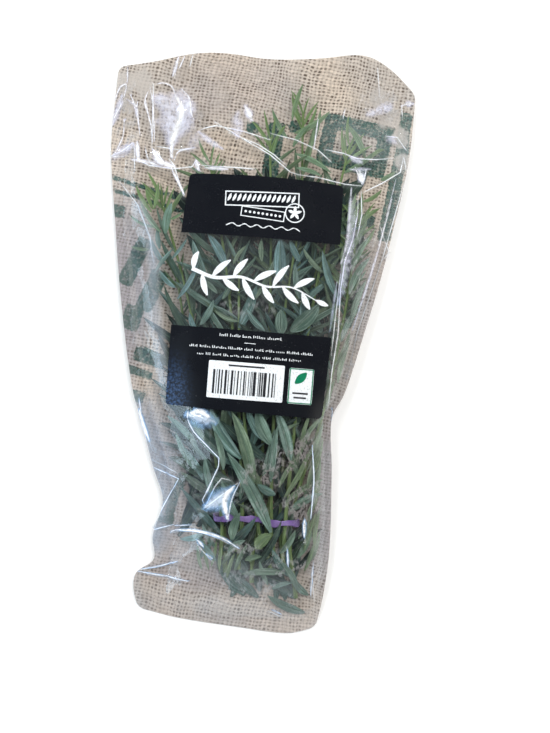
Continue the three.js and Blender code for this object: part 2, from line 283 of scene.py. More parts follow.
# The lamps: place, (length, width), power in watts, colour, and whether the film mirrors them.
lamps = {
    "keyLamp": ((-960, 720, 760), (150, 150), 1.5, (1.0, 0.99, 1.0), True),
    "keyFill": ((-700, 520, 900), (430, 430), 6.5, (1.0, 0.99, 0.98), False),
    "leftStrip": ((-900, -160, 640), (760, 300), 1.5, (0.72, 0.88, 1.0), True),
    "rightStrip": ((800, -40, 760), (760, 60), 1.0, (1.0, 0.99, 0.96), False),
    "footStrip": ((60, -860, 700), (760, 60), 0.8, (0.88, 0.94, 1.0), False),
    "mouthStrip": ((160, 900, 640), (760, 60), 1.0, (1.0, 1.0, 1.0), False),
    "topFill": ((330, 400, 1250), (800, 800), 11.5, (1.0, 0.985, 0.965), False),
}
surroundings = {
    "leftSky": (0.70, 0.86, 1.0), "rightSky": (0.90, 0.88, 0.82), "overhead": (0.05, 0.055, 0.06),
    "skyLeft": -0.6, "skyRight": 0.5, "skyLow": 0.30, "skyHigh": 0.72,  # where one turns into another
    "floor": (0.87, 0.87, 0.865), "floorRough": 0.6, "floorGlow": 0.16, "floorSize": 6000, "floorLevel": -0.2,
}


def placeLamps():
    for name, (place, size, power, colour, mirrored) in lamps.items():
        bpy.ops.object.light_add(type="AREA", location=Vector(place) * mm)
        lamp = bpy.context.object
        lamp.name = name
        lamp.data.shape = "RECTANGLE"
        lamp.data.size, lamp.data.size_y = size[0] * mm, size[1] * mm
        lamp.data.energy = power
        lamp.data.color = colour
        lamp.rotation_euler = (-lamp.location).to_track_quat("-Z", "Y").to_euler()
        lamp.visible_glossy = mirrored


def paintSky():
    n = Nodes(bpy.data.worlds.new("paleRoom"), "Background")
    east, _, up = n.parts(n.add("ShaderNodeTexCoord").outputs["Generated"])
    turning = n.ramp(east, surroundings["skyLeft"], surroundings["skyRight"], kind="LINEAR")
    around = n.blend(turning, surroundings["leftSky"], surroundings["rightSky"])
    rising = n.ramp(up, surroundings["skyLow"], surroundings["skyHigh"], kind="LINEAR")
    n.set(Color=n.blend(rising, around, surroundings["overhead"]))
    bpy.context.scene.world = n.owner


def layFloor():
    size, level = surroundings["floorSize"] * mm, surroundings["floorLevel"] * mm
    bpy.ops.mesh.primitive_plane_add(size=size, location=(0, 0, level))
    floor = bpy.context.object
    floor.name = "floor"
    n = newMaterial("paleFloor")
    n.set(Base_Color=surroundings["floor"], Roughness=surroundings["floorRough"])
    n.set(Emission_Color=(1, 1, 1), Emission_Strength=surroundings["floorGlow"])
    floor.data.materials.append(n.owner)


lens = placeCamera()
placeLamps()
paintSky()
layFloor()
print("camera, lamps and floor placed")


# The sleeve's form, as in its solids: the sides and the fill as (y, value) points, its foot and mouth as
# (u, y) points, where u runs from the left edge (-1) to the right edge (1).
sleeve = {
    "film": 0.5,  # the solids' thickness; the real film is much thinner
    "seamGap": 0.3,
    "weld": 0.94,
    "sealedBelow": -136,
    "leftEdge": [
        (-142, -37), (-134, -43), (-118, -45), (-111, -36), (-100, -38), (-82, -34), (-66, -40),
        (-45, -47), (-29, -53), (14, -62), (52, -68), (86, -72.7), (110, -72.8), (142, -72),
    ],
    "rightEdge": [
        (-142, 44), (-124, 47), (-100, 48.5), (-60, 46.5), (-35, 44.5), (-24, 49.5),
        (9, 57.5), (34, 63), (63, 68), (90, 72), (110, 73), (142, 73),
    ],
    "footEdge": [(-1, -135), (-0.6, -138.5), (0.1, -140.8), (0.7, -141.9), (1, -138)],
    "mouthEdge": [
        (-1, 127.5), (-0.78, 131), (-0.5, 136.5), (-0.28, 138), (0, 137),
        (0.35, 139), (0.64, 142), (0.82, 136.5), (1, 125),
    ],
    "fill": [
        (-142, 0), (-136, 0), (-127, 6), (-114, 11), (-100, 14.5), (-87, 16.3), (-60, 20.5), (-30, 23),
        (0, 22.5), (40, 19), (70, 15.5), (95, 11.5), (115, 7.5), (130, 3.5), (142, 1.2),
    ],
    "fillLeft": [
        (-142, -32), (-112, -28), (-87, -27), (-60, -36), (-30, -47), (10, -57), (60, -64), (142, -67),
    ],
    "fillRound": 0.65,
    "rise": 0.22,
    "flatShare": 0.5,
    "curl": {"height": 2.4, "low": 112, "high": 142, "wave": 72},
    "cornerRound": 7,  # the stretch of edge over which a corner is rounded
    "trace": {"corners": 400, "step": 0.5},  # how finely the edge is followed before it is rounded
}
leftEdge, rightEdge = through(sleeve["leftEdge"]), through(sleeve["rightEdge"])
footEdge, mouthEdge = through(sleeve["footEdge"]), through(sleeve["mouthEdge"])
fill, fillLeft = through(sleeve["fill"]), through(sleeve["fillLeft"])


def across(x, y):
    left, right = leftEdge(y), rightEdge(y)
    return (2 * x - left - right) / (right - left)


def underside(x, y):
    curl = sleeve["curl"]
    side = smooth(abs(across(x, y)), sleeve["flatShare"], 1)
    wave = (1 - math.cos(2 * math.pi * x / curl["wave"])) / 2
    lift = curl["height"] * wave * smooth(y, curl["low"], curl["high"])
    return sleeve["rise"] * max(fill(y), 0) * side + lift


def roomOver(x, y):
    left = fillLeft(y)
    right = mix(leftEdge(y), rightEdge(y), (sleeve["weld"] + 1) / 2)
    u = (2 * x - left - right) / (right - left)
    return max(fill(y), 0) * (1 - u * u) ** sleeve["fillRound"] if abs(u) < 1 else 0


def backTop(x, y):
    return underside(x, y) + sleeve["film"]


def frontBottom(x, y):
    return backTop(x, y) + sleeve["seamGap"] + roomOver(x, y)


def heightAt(x, y, share):
    low = backTop(x, y)
    return mix(low, low + sleeve["seamGap"] + roomOver(x, y), share)


def shareAt(x, y, z):
    low = backTop(x, y)
    return (z - low) / (sleeve["seamGap"] + roomOver(x, y))


def onSleeve(u, w):
    # w runs from the foot (0) to the mouth (1)
    y = mix(footEdge(u), mouthEdge(u), w)
    return mix(leftEdge(y), rightEdge(y), (u + 1) / 2), y


def sleeveOutline(spacing):
    # the edge of both webs as a ring of points, counterclockwise, with its corners rounded
    corners, step = sleeve["trace"]["corners"], sleeve["trace"]["step"]
    share = [k / corners for k in range(corners)]
    ring = [onSleeve(-1 + 2 * k, 0) for k in share] + [onSleeve(1, k) for k in share]
    ring += [onSleeve(1 - 2 * k, 1) for k in share] + [onSleeve(-1, 1 - k) for k in share]
    ring = evenly(ring, step)
    reach = int(sleeve["cornerRound"] / step / 2)
    soft = []
    for i in range(len(ring)):
        near = [ring[(i + k) % len(ring)] for k in range(-reach, reach + 1)]
        soft.append((sum(p[0] for p in near) / len(near), sum(p[1] for p in near) / len(near)))
    return evenly(soft, spacing)


def evenly(ring, spacing):
    points = ring + ring[:1]
    lengths = [0.0]
    for a, b in zip(points, points[1:]):
        lengths.append(lengths[-1] + math.dist(a, b))
    count = round(lengths[-1] / spacing)
    at = np.linspace(0, lengths[-1], count, endpoint=False)
    xs = np.interp(at, lengths, [p[0] for p in points])
    ys = np.interp(at, lengths, [p[1] for p in points])
    return list(zip(xs.tolist(), ys.tolist()))


def triangulated(outline, lines, spots):
    # a flat mesh inside the outline, with edges along the lines and corners at the spots
    points = [Vector(p) for p in outline]
    edges = [(i, (i + 1) % len(outline)) for i in range(len(outline))]
    for line in lines:
        start = len(points)
        points += [Vector(p) for p in line]
        edges += [(start + k, start + k + 1) for k in range(len(line) - 1)]
    points += [Vector(p) for p in spots]
    flat, _, faces, _, _, _ = delaunay_2d_cdt(points, edges, [], 1, 1e-5)
    return [(p.x, p.y) for p in flat], [tuple(f) for f in faces]


def meshPiece(name, corners, faces):
    # a mesh object from corners in millimetres
    data = bpy.data.meshes.new(name)
    data.from_pydata([(x * mm, y * mm, z * mm) for x, y, z in corners], [], faces)
    piece = bpy.data.objects.new(name, data)
    bpy.context.scene.collection.objects.link(piece)
    return piece


def sheetPiece(name, flat, faces, heights, thickness):
    # a flat mesh lifted to its heights, as a closed sheet that is as thick upwards as asked
    piece = meshPiece(name, [(x, y, z) for (x, y), z in zip(flat, heights)], faces)
    return thickened(piece, thickness)


def thickened(piece, thickness):
    activate(piece)
    bpy.ops.object.modifier_add(type="SOLIDIFY")
    wall = piece.modifiers[-1]
    wall.thickness = thickness * mm
    wall.offset = 1
    bpy.ops.object.modifier_apply(modifier=wall.name)
    return piece


def activate(piece):
    bpy.ops.object.select_all(action="DESELECT")
    piece.select_set(True)
    bpy.context.view_layer.objects.active = piece


def shadeSoft(piece, angle):
    activate(piece)
    bpy.ops.object.shade_smooth_by_angle(angle=math.radians(angle))


def pointValues(piece, **lists):
    # one value for each point of the piece, under each name
    for name, values in lists.items():
        attribute = piece.data.attributes.new(name, "FLOAT", "POINT")
        attribute.data.foreach_set("value", np.asarray(values, np.float32))


def valuesAt(piece, **worths):
    # point values worked out from a point's place in millimetres
    for name, worth in worths.items():
        values = [worth(p.co.x / mm, p.co.y / mm) for p in piece.data.vertices]
        pointValues(piece, **{name: values})


def finished(piece, slot, *replaced):
    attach(piece, "root")
    if replaced:
        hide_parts(*replaced)


def boxOf(points, margin):
    xs, ys = [p[0] for p in points], [p[1] for p in points]
    return min(xs) - margin, max(xs) + margin, min(ys) - margin, max(ys) + margin


def inBox(box, x, y):
    return box[0] < x < box[1] and box[2] < y < box[3]


def nearestOn(line, x, y):
    # the distance to a line, and the share of the line where it is nearest
    best, share = 1e9, 0
    for k, ((ax, ay), (bx, by)) in enumerate(zip(line, line[1:])):
        dx, dy = bx - ax, by - ay
        t = clamp(((x - ax) * dx + (y - ay) * dy) / (dx * dx + dy * dy), 0, 1)
        gap = math.hypot(x - ax - dx * t, y - ay - dy * t)
        if gap < best:
            best, share = gap, (k + t) / (len(line) - 1)
    return best, share


def insideOf(polygon, x, y):
    inside = False
    for (ax, ay), (bx, by) in zip(polygon, polygon[1:] + polygon[:1]):
        if (ay > y) != (by > y) and x < (bx - ax) * (y - ay) / (by - ay) + ax:
            inside = not inside
    return inside


# The back web, printed with sacking and stencil marks.
backWeb = {
    "spacing": 1.9,  # between the points of its mesh, and along its edge
    "edgeSpacing": 1.6,
    "edgeClear": 0.9,
    "seed": 11,
    "thickness": 0.22,
    "lift": 0.12,  # over the underside of its solid
    "lowest": 0.02,
    "ripples": [(26, 0.16), (9, 0.07)],  # wave length, height
    "yarn": 1.72,  # from one printed yarn to the next
    "turn": 7,  # degrees
    "yarnColour": (0.69, 0.585, 0.485),
    "shadeColour": (0.57, 0.51, 0.455),
    # the colour that the painted shade turns the print to
    "paintedShadeColour": (0.365, 0.33, 0.345),
    "holeColour": (0.10, 0.07, 0.05),
    "inkColour": (0.058, 0.128, 0.104),
    # the ink between its printed threads, and under the painted shade
    "inkDeepAndShade": (0.013, 0.033, 0.028),
    "bareColour": (0.56, 0.515, 0.475),
}
# Stencil marks: middle, (width, height), turn in degrees, and the stroke of one that is an open frame.
stencils = [
    ((-51.8, 68.8), (40, 2.3), -12.5), ((-50.5, 62.6), (40, 2.3), -12.5), ((-67, 57), (7, 6), -10),
    ((-56.8, 33), (7.5, 25), -21), ((-47.5, 20), (8.5, 21), -21), ((-56.1, 5.6), (9, 12), -15),
    ((-45.9, -13), (16, 7), -15), ((-50.3, -20.5), (13, 4), -15), ((-52, -32), (10, 6), -12),
    ((-26.5, -72), (5, 8), -10), ((-29.5, -82.5), (4.5, 13), -12), ((-34, -90.5), (12, 4), -14),
    ((45.5, 98), (34.5, 26), -9, 7.2), ((46.5, 96.5), (8, 8), 36), ((6, 93), (8, 27), -4),
    ((-5, 103), (6, 6), -4), ((16, 105), (6, 6), -4), ((66, 77), (6.5, 50), -7.5), ((69, 108), (6, 16), -4),
    ((52, 62), (12, 6), -7), ((50, 20), (6, 22), -12),
]
# Painted shade on the print, darker and cooler: middle, half sizes, strength.
paintedShades = [
    ((-16, 120), (36, 22), 0.3), ((-62, 15), (20, 62), 0.95), ((-40, -78), (34, 56), 0.8),
    ((0, -136), (70, 26), 0.35), ((-16, -112), (36, 20), 0.7), ((46, -70), (14, 60), 0.8),
    ((58, 30), (14, 40), 0.45),
]
# Spots with no sacking print: middle, radius.
bareSpots = [
    ((-69, 119), 8), ((-60, 120), 8), ((-66, 108), 5), ((62, 112), 7), ((67, 103), 6), ((56, 122), 6),
    ((70, 92), 5),
]


def inkAt(x, y):
    # how far inside the nearest stencil mark a point lies, in millimetres, below 0 outside
    best = -4.0
    for (cx, cy), (width, height), turn, *strokes in stencils:
        dx, dy = turned(0, 0, x - cx, y - cy, -turn)
        inside = min(width / 2 - abs(dx), height / 2 - abs(dy))
        for wide in strokes:
            inside = min(inside, wide - inside)
        best = max(best, inside)
    return best


def bareAt(x, y):
    return max(1 - math.dist((x, y), middle) / size for middle, size in bareSpots)


def patchesAt(x, y, patches):
    # how strongly the softly bounded patches cover a point
    worth = 0
    for (px, py), (a, b), strength in patches:
        worth = max(worth, strength * (1 - smooth(math.hypot((x - px) / a, (y - py) / b), 0.4, 1.15)))
    return worth


def printedFilm():
    n = newMaterial("printedFilm")
    place = n.place()
    moved = n.swayed(place, place, 46, 11, centre=0.5)
    moved = n.swayed(moved, place, 5, 1.3, 1, centre=0.5)
    pitch = 1 / (backWeb["yarn"] * mm)
    cloth = n.stretched(moved, (pitch * 0.94, pitch * 1.05, 1), backWeb["turn"])
    u, v, _ = n.parts(cloth)
    # the holes between the yarns, each of its own size and depth
    wholeU, wholeV = n.math("ROUND", u), n.math("ROUND", v)
    fromU = n.math("ABSOLUTE", n.math("SUBTRACT", u, wholeU))
    fromV = n.math("ABSOLUTE", n.math("SUBTRACT", v, wholeV))
    pick = n.add("ShaderNodeTexWhiteNoise", noise_dimensions="2D")
    n.put(pick.inputs["Vector"], n.joined(wholeU, wholeV))
    chance = pick.outputs["Value"]
    hole = n.math("MAXIMUM", n.times(fromU, 0.92), fromV)
    hole = n.math("SUBTRACT", hole, n.scaled(chance, 0.14, 0.13))
    depth = n.times(n.ramp(n.noise(place, 9), 0.25, 0.62, (0.3, 1.0)), n.scaled(chance, 0.45, 0.55))
    # the holes are also shallower under the painted shade
    opened = n.times(n.ramp(hole, -0.06, 0.13, (1, 0)), depth, n.scaled(n.attribute("shade"), -0.3, 1.0))
    # yarns: slubs along them, and a fine shade between them
    slub = n.noise(n.stretched(cloth, (1.2, 0.14, 1)), unscaled, 2, 0.6)
    slubAcross = n.noise(n.stretched(cloth, (0.14, 1.2, 1)), unscaled, 2, 0.6)
    over = n.times(n.math("SINE", n.times(u, math.pi)), n.math("SINE", n.times(v, math.pi)))
    streak = n.blend(n.ramp(over, -0.3, 0.3), slubAcross, slub)
    between = n.ramp(n.math("MINIMUM", fromU, fromV), 0.0, 0.2, (0.86, 1.03))
    tone = n.times(n.ramp(streak, 0.3, 0.7, (0.80, 1.12)), between)
    body = n.blend(n.ramp(n.noise(place, 42), 0.35, 0.65), backWeb["yarnColour"], backWeb["shadeColour"])
    # painted shade: the print turns darker and cooler where the shade patches lie
    body = n.shaded(n.blend(n.attribute("shade"), body, backWeb["paintedShadeColour"]), tone)
    woven = n.blend(opened, body, backWeb["holeColour"])
    # ink: ragged at its edges, worn, and deeper under the painted shade
    ragged = n.scaled(n.noise(place, 1.3, 2, 0.6), 1.9, -0.95)
    inked = n.ramp(n.plus(n.attribute("ink"), ragged), -0.25, 0.35)
    worn = n.ramp(n.noise(place, 1.9, 3, 0.7), 0.32, 0.54, (0.5, 1.0))
    thread = n.ramp(n.plus(opened, n.times(streak, -0.6)), -0.4, 0.6)
    ink = n.blend(thread, backWeb["inkColour"], backWeb["inkDeepAndShade"])
    ink = n.blend(n.times(n.attribute("shade"), 0.45), ink, backWeb["inkDeepAndShade"])
    marked = n.blend(n.times(inked, worn), woven, ink)
    bare = n.plus(n.attribute("bare"), n.scaled(n.noise(place, 7, 3), 1.4, -0.7))
    n.set(
        Base_Color=n.blend(n.times(n.ramp(bare, 0.05, 0.4), 0.75), marked, backWeb["bareColour"]),
        Roughness=n.ramp(n.noise(place, 12), 0.3, 0.7, (0.42, 0.55)),
    )
    n.shader.inputs["Specular IOR Level"].default_value = 0.3
    n.bump(n.math("MULTIPLY_ADD", opened, -0.5, n.noise(place, 7, 3, 0.6)), 0.3, 0.4)
    return n.owner


# The rows of points inside a web's mesh: where they run, how far points stray, and from row to row.
grid = {"left": -75.0, "right": 75, "low": -143.0, "high": 143, "jitter": 0.55, "rowStep": 0.866}


def interiorSpots(spacing, seed, keepClear):
    random = randomFrom(seed)
    spots = []
    row, y = 0, grid["low"]
    while y < grid["high"]:
        x = grid["left"] + (spacing / 2 if row % 2 else 0)
        while x < grid["right"]:
            px = x + (random() - 0.5) * spacing * grid["jitter"]
            py = y + (random() - 0.5) * spacing * grid["jitter"]
            u = across(px, py)
            if abs(u) < 1 and footEdge(u) < py < mouthEdge(u) and keepClear(px, py):
                spots.append((px, py))
            x += spacing
        y += spacing * grid["rowStep"]
        row += 1
    return spots


def clearOf(points, gap):
    tree = searchTree([(x, y, 0) for x, y in points])
    return lambda x, y: tree.find((x, y, 0))[2] > gap


def ripplesAt(x, y, ripples, seed):
    return sum(high * ripple(x, y, long, seed + k) for k, (long, high) in enumerate(ripples))


def makeBackWeb():
    outline = sleeveOutline(backWeb["edgeSpacing"])
    inner = interiorSpots(backWeb["spacing"], backWeb["seed"], clearOf(outline, backWeb["edgeClear"]))
    flat, faces = triangulated(outline, [], inner)
    heights = []
    for x, y in flat:
        wave = ripplesAt(x, y, backWeb["ripples"], 0)
        heights.append(max(underside(x, y) + backWeb["lift"] + wave * 0.5, backWeb["lowest"]))
    piece = sheetPiece("backWeb", flat, faces, heights, backWeb["thickness"])
    # shade: how strongly painted shade covers each point
    valuesAt(piece, ink=inkAt, bare=bareAt, shade=lambda x, y: patchesAt(x, y, paintedShades))
    piece.data.materials.append(printedFilm())
    shadeSoft(piece, 40)
    finished(piece, "printed_film", "back_film")


makeBackWeb()
print("back web made")


# The front web, clear and crinkled.
frontWeb = {
    "spacing": 1.75,  # between the points of its mesh, along its edge, its creases and its glares
    "edgeSpacing": 1.4,
    "creaseStep": 1.6,
    "glareStep": 1.2,
    "edgeClear": 0.8,
    "lineClear": 0.95,
    "seed": 23,
    "thickness": 0.12,
    "lift": 0.12,  # over the underside of its solid
    "ripples": [(21, 0.30), (8.5, 0.14)],
    "rippleSeed": 5,
    "freeAbove": 5,  # room below it at which it ripples freely
    "creaseHalf": 0.36,  # half width of a crease, and where the film beside it is level again
    "creaseFlat": 0.78,
    # a crease's crest is painted white: partly the film's whitening, partly a painted glint
    "crest": 0.12,  # half width of the whitened crest of a crease
    "hazeReach": 3,
    "broadGlare": 3,  # half width from which a glare has no edges of its own in the mesh
    "weldLine": (0.03, 0.94, 150),  # where it starts, its span and its steps, as shares from foot to mouth
    "footLine": (-38, 44, 2),  # from x to x, and its step
    "footLift": 1.5,  # over the seal at the foot
    "facetLift": 0.25,
    "facetRaise": 0.35,  # share of its own drop by which a facet is lifted
    "facetsFace": (-700, 520, 900),
    "facetBend": 42,  # radius that a facet is bent to
    "roughness": 0.075,
    "tint": (0.94, 0.97, 1.0),
    "mistTint": (0.34, 0.315, 0.31),
    # the tint of the painted bluish reflections
    "veilTint": (0.59, 0.68, 0.79),
    # the colours of the painted glares: rim, bluer rim lower down, and core
    "glareRim": (0.82, 0.83, 0.97),
    "glareBlue": (0.42, 0.64, 0.95),
    "glareCore": (0.97, 0.98, 1.0),
}
# Creases: height, haze along it, points.
creases = [
    (0.35, 0.25, [(-54.5, 119.5), (-53.5, 104), (-52.5, 89)]),
    (0.45, 0.35, [(-52.5, 88), (-48.5, 84.5), (-45, 80)]),
    (0.45, 0.3, [(-44, 83.5), (-41, 80.5), (-35, 65.5)]),
    (0.45, 0.3, [(-61, 83), (-53, 79.5), (-41, 78.5), (-32, 80), (-30.5, 83.5), (-28, 78)]),
    (0.45, 0.3, [(-26.5, 81), (-14, 81), (-1.5, 81)]),
    (0.4, 0.3, [(-50, 89), (-44.5, 88.5), (-38.5, 88), (-31.5, 89.5)]),
    (0.5, 0.2, [(-31, 97.5), (-27.5, 99.5), (-22, 101), (-8.5, 99), (4, 96)]),
    (0.5, 0.25, [(-22.5, 102.5), (-9, 95.5), (5, 88.5), (15, 81), (19, 80)]),
    (0.4, 0.2, [(-16, 98), (-1, 93), (7, 88.5), (13, 84)]),
    (0.35, 0.2, [(5, 99), (16.5, 97), (27.5, 93), (34, 88)]),
    (0.45, 0.25, [(19, 80), (28.5, 79.5), (42, 77.5), (49.5, 77.5)]),
    (0.45, 0.3, [(31.5, 93.5), (40, 92.5), (47, 90.5), (56, 91), (64, 92.5)]),
    (0.4, 0.25, [(69.5, 94), (68.5, 86.5), (60, 80), (51, 74.5)]),
    (0.3, 0.2, [(69.5, 94), (71.5, 87)]),
    (0.3, 0.2, [(66.5, 119.5), (67.5, 112.5)]),
    (0.35, 0.2, [(71, 97), (65.5, 103), (60, 103)]),
    (0.3, 0.15, [(53.5, 136), (55.5, 122.5)]),
    (0.3, 0.15, [(-43.5, 132.5), (-44.5, 123.5)]),
    (0.3, 0.1, [(-36.5, 135.5), (-37.5, 129.5)]),
    (0.35, 0.2, [(-61.5, 90), (-60, 77.5)]),
    (0.35, 0.2, [(-73, 83), (-67.5, 86), (-62, 90.5)]),
    (0.35, 0.15, [(-67, 71), (-57, 60), (-49.5, 44.5), (-47, 33)]),
    (0.45, 0.25, [
        (48.5, 73), (49, 63.5), (47.5, 51), (44.5, 40), (43.5, 26.5), (44, 6), (42.5, -12.5), (42, -31.5),
    ]),
    (0.35, 0.2, [(50, 74), (51, 63.5), (49.5, 51.5)]),
    (0.3, 0.15, [(43, 34.5), (42, 11.5), (41.5, -5)]),
    (0.4, 0.2, [(71, 83), (63.5, 46), (59.5, 30), (53.5, 7), (50.5, -16)]),
    (0.55, 0.4, [
        (-24.5, -36), (-24.5, -41), (-21, -46.5), (-8, -58), (-8, -62), (-14.5, -79), (-13.5, -81.5),
    ]),
    (0.35, 0.2, [(-9.5, -65.5), (-13, -77)]),
    (0.4, 0.3, [(-13, -82.5), (-9, -72), (-6, -67.5), (-2.5, -68)]),
    (0.4, 0.3, [(-13.5, -83), (-8, -78), (2, -69)]),
    (0.35, 0.15, [(-49.5, -38), (-45.5, -46), (-41.5, -57)]),
    (0.4, 0.3, [(-40, -66), (-27, -70), (-31, -78.5), (-38.5, -95.5)]),
    (0.3, 0.2, [(-41, -62.5), (-28.5, -67)]),
    (0.35, 0.2, [(-38.5, -96.5), (-28, -93)]),
    (0.45, 0.4, [
        (-29, -95.5), (-29.5, -97.5), (-24.5, -95.5), (-18, -94.8), (-12, -95.2), (-5, -97), (5, -101),
    ]),
    (0.3, 0.15, [(-15, -101.5), (-8, -108)]),
    (0.45, 0.35, [(36, -48.5), (38, -65.5), (38, -85)]),
    (0.35, 0.2, [(34.5, -86), (36, -94)]),
    (0.35, 0.2, [(-44, -116.5), (-33, -114), (-24.5, -110.5)]),
    (0.35, 0.3, [(-43.5, -117), (-19, -119.5)]),
    (0.3, 0.15, [(21, -131.5), (28, -134)]),
    (0.3, 0.15, [(27.5, -99), (29, -108.5)]),
    (0.25, 0.1, [(60, 60), (66, 47), (61, 40)]),
    (0.25, 0.1, [(41, -112), (43, -125)]),
]
# Facets that lean to the upper left: a faint haze painted on them as a sheen, corners.
facets = [
    (0.35, [(-44, 113), (-38, 117), (-33.5, 108), (-34.5, 98), (-39, 88), (-41, 100)]),
    (0.3, [(-52, 117), (-48, 118), (-47, 107), (-51, 104)]),
    (0.25, [(-12, 112), (-4, 110), (-8, 101)]),
    (0.3, [(45.5, 86), (53, 84.5), (51, 77.5)]),
    (0.3, [(-54, 86), (-49, 88), (-45, 80), (-52, 79)]),
    (0.3, [(-27, -38.5), (-20, -36.5), (-13.5, -40.5), (-20, -42.5)]),
    (0.25, [(-15, -83.5), (-7, -74), (1.5, -70.5), (0.5, -80), (-2, -87)]),
    (0.3, [(50, 111), (55, 117), (58, 113)]),
    (0.25, [(57, 117), (63, 122), (64, 116)]),
    (0.25, [(-74, 85), (-66, 90), (-64, 84)]),
    (0.25, [(-73, 105), (-68, 117), (-66, 110)]),
    (0.3, [(-31, 84), (-24, 85), (-20, 81.5), (-29, 80)]),
    (0.2, [(35, -87), (38, -88), (37, -97), (34.5, -95)]),
]
# Misted areas: middle, (half width, half height), strength.
mists = [
    ((49, 22), (7, 42), 0.5), ((-47, 22), (5, 28), 0.12), ((30, -62), (13, 24), 1.0),
    ((14, -70), (14, 14), 0.9), ((34, -84), (10, 12), 1.0), ((-20, -62), (12, 30), 0.12),
    ((-42, 104), (17, 16), 0.3), ((56, 118), (12, 12), 0.4), ((-66, 105), (8, 22), 0.35),
    ((-40, -78), (10, 40), 0.35), ((30, -112), (14, 14), 0.6), ((0, -98), (16, 8), 0.6),
    ((54, -10), (7, 28), 0.5), ((30, -124), (16, 10), 0.7), ((58, 38), (9, 26), 0.4),
    ((8, -118), (18, 8), 0.4), ((6, 15), (30, 6), 0.3),
]
# Glares, painted into the film as milky white strokes that stand for reflections: half width, strength,
# points.
glares = [
    (2.2, 1.0, [(-42.5, 113.5), (-39.5, 108.5), (-41, 100), (-43, 91), (-42.5, 84.5)]),
    (13, 0.5, [(-51, 112), (-43, 107.5), (-43, 93)]),
    (6, 0.5, [(-38, 113), (-36, 106)]),
    (2.2, 0.9, [(-51.5, 86.5), (-48.5, 82), (-40.5, 79.5)]),
    (1.6, 0.8, [(-60, 90.5), (-59, 82)]),
    (2.4, 0.9, [(-8.5, 111), (-5.5, 105.5)]),
    (4, 0.4, [(-12.5, 108.5), (-11.5, 96)]),
    (1.6, 0.7, [(-30.5, 83.5), (-29, 78.5)]),
    (1.2, 0.7, [(-26, 80), (-15, 80)]),
    (2, 0.5, [(-30.5, 97.5), (-24.5, 93), (-18.5, 90)]),
    (5, 0.25, [(-34, 88.5), (-30.5, 96.5)]),
    (1, 0.7, [(-43.5, 133.5), (-45.5, 124)]),
    (3.5, 0.5, [(-71.5, 83), (-62, 89.5)]),
    (1.2, 0.7, [(-61.5, 82), (-53, 81), (-48.5, 79.5)]),
    (0.9, 0.9, [(-42.5, 79.5), (-34.5, 66)]),
    (3, 0.5, [(50, 112.5), (55, 115), (62.5, 118.5)]),
    (3, 0.4, [(61, 102), (64.5, 101)]),
    (2.2, 0.5, [(43.5, 91), (49, 89)]),
    (2.2, 1.0, [(48.5, 84.5), (50, 79)]),
    (1.4, 0.5, [(44.5, 85), (53, 86)]),
    (2, 0.7, [(68.5, 120), (71.5, 120.5)]),
    (2.4, 1.0, [(-23, -37.5), (-19, -36.5), (-14.5, -38.5)]),
    (6, 0.6, [(-24.5, -38.5), (-11.5, -41)]),
    (2.2, 1.0, [(0, -71), (-4, -77), (-1.5, -87)]),
    (6.5, 0.6, [(-12.5, -82), (-5.5, -77), (-1, -72.5)]),
    (1.6, 0.8, [(-49, -38.5), (-46.5, -45.5), (-43, -53)]),
    (1.3, 0.9, [(35, -85), (35.5, -93)]),
    (0.9, 0.7, [(28, -100), (29, -108)]),
    (1.3, 0.9, [(-15.5, -99), (-12.5, -101.5)]),
    (1.2, 0.8, [(-10, -105.5), (-7.5, -107)]),
    (1.0, 1.0, [(-29, -96.5), (-24.5, -95), (-14.5, -94.5), (-4, -96.3), (4.5, -100.5)]),
    (0.8, 0.6, [(23, -130.5), (27.5, -132.5)]),
    (0.7, 0.9, [(-43.5, -117), (-37.5, -118), (-19, -119.5)]),
    (0.6, 0.8, [(-41, -115.5), (-33, -113.5), (-25, -110.5)]),
    (0.6, 0.8, [(41, -122), (41, -106)]),
    (2, 0.5, [(-73, 98.5), (-69.5, 113.5)]),
    (1, 0.5, [(-67, 111.5), (-63, 109), (-61, 102.5)]),
    (1.2, 0.6, [(45, 76), (45, 50.5), (43, 40)]),
    (3, 0.3, [(47, 72), (46.5, 50), (43, 20)]),
    (0.9, 0.45, [(41.5, 30), (40, 7)]),
    (0.8, 0.6, [(66.5, 82.5), (60.5, 47.5), (51, 8)]),
]
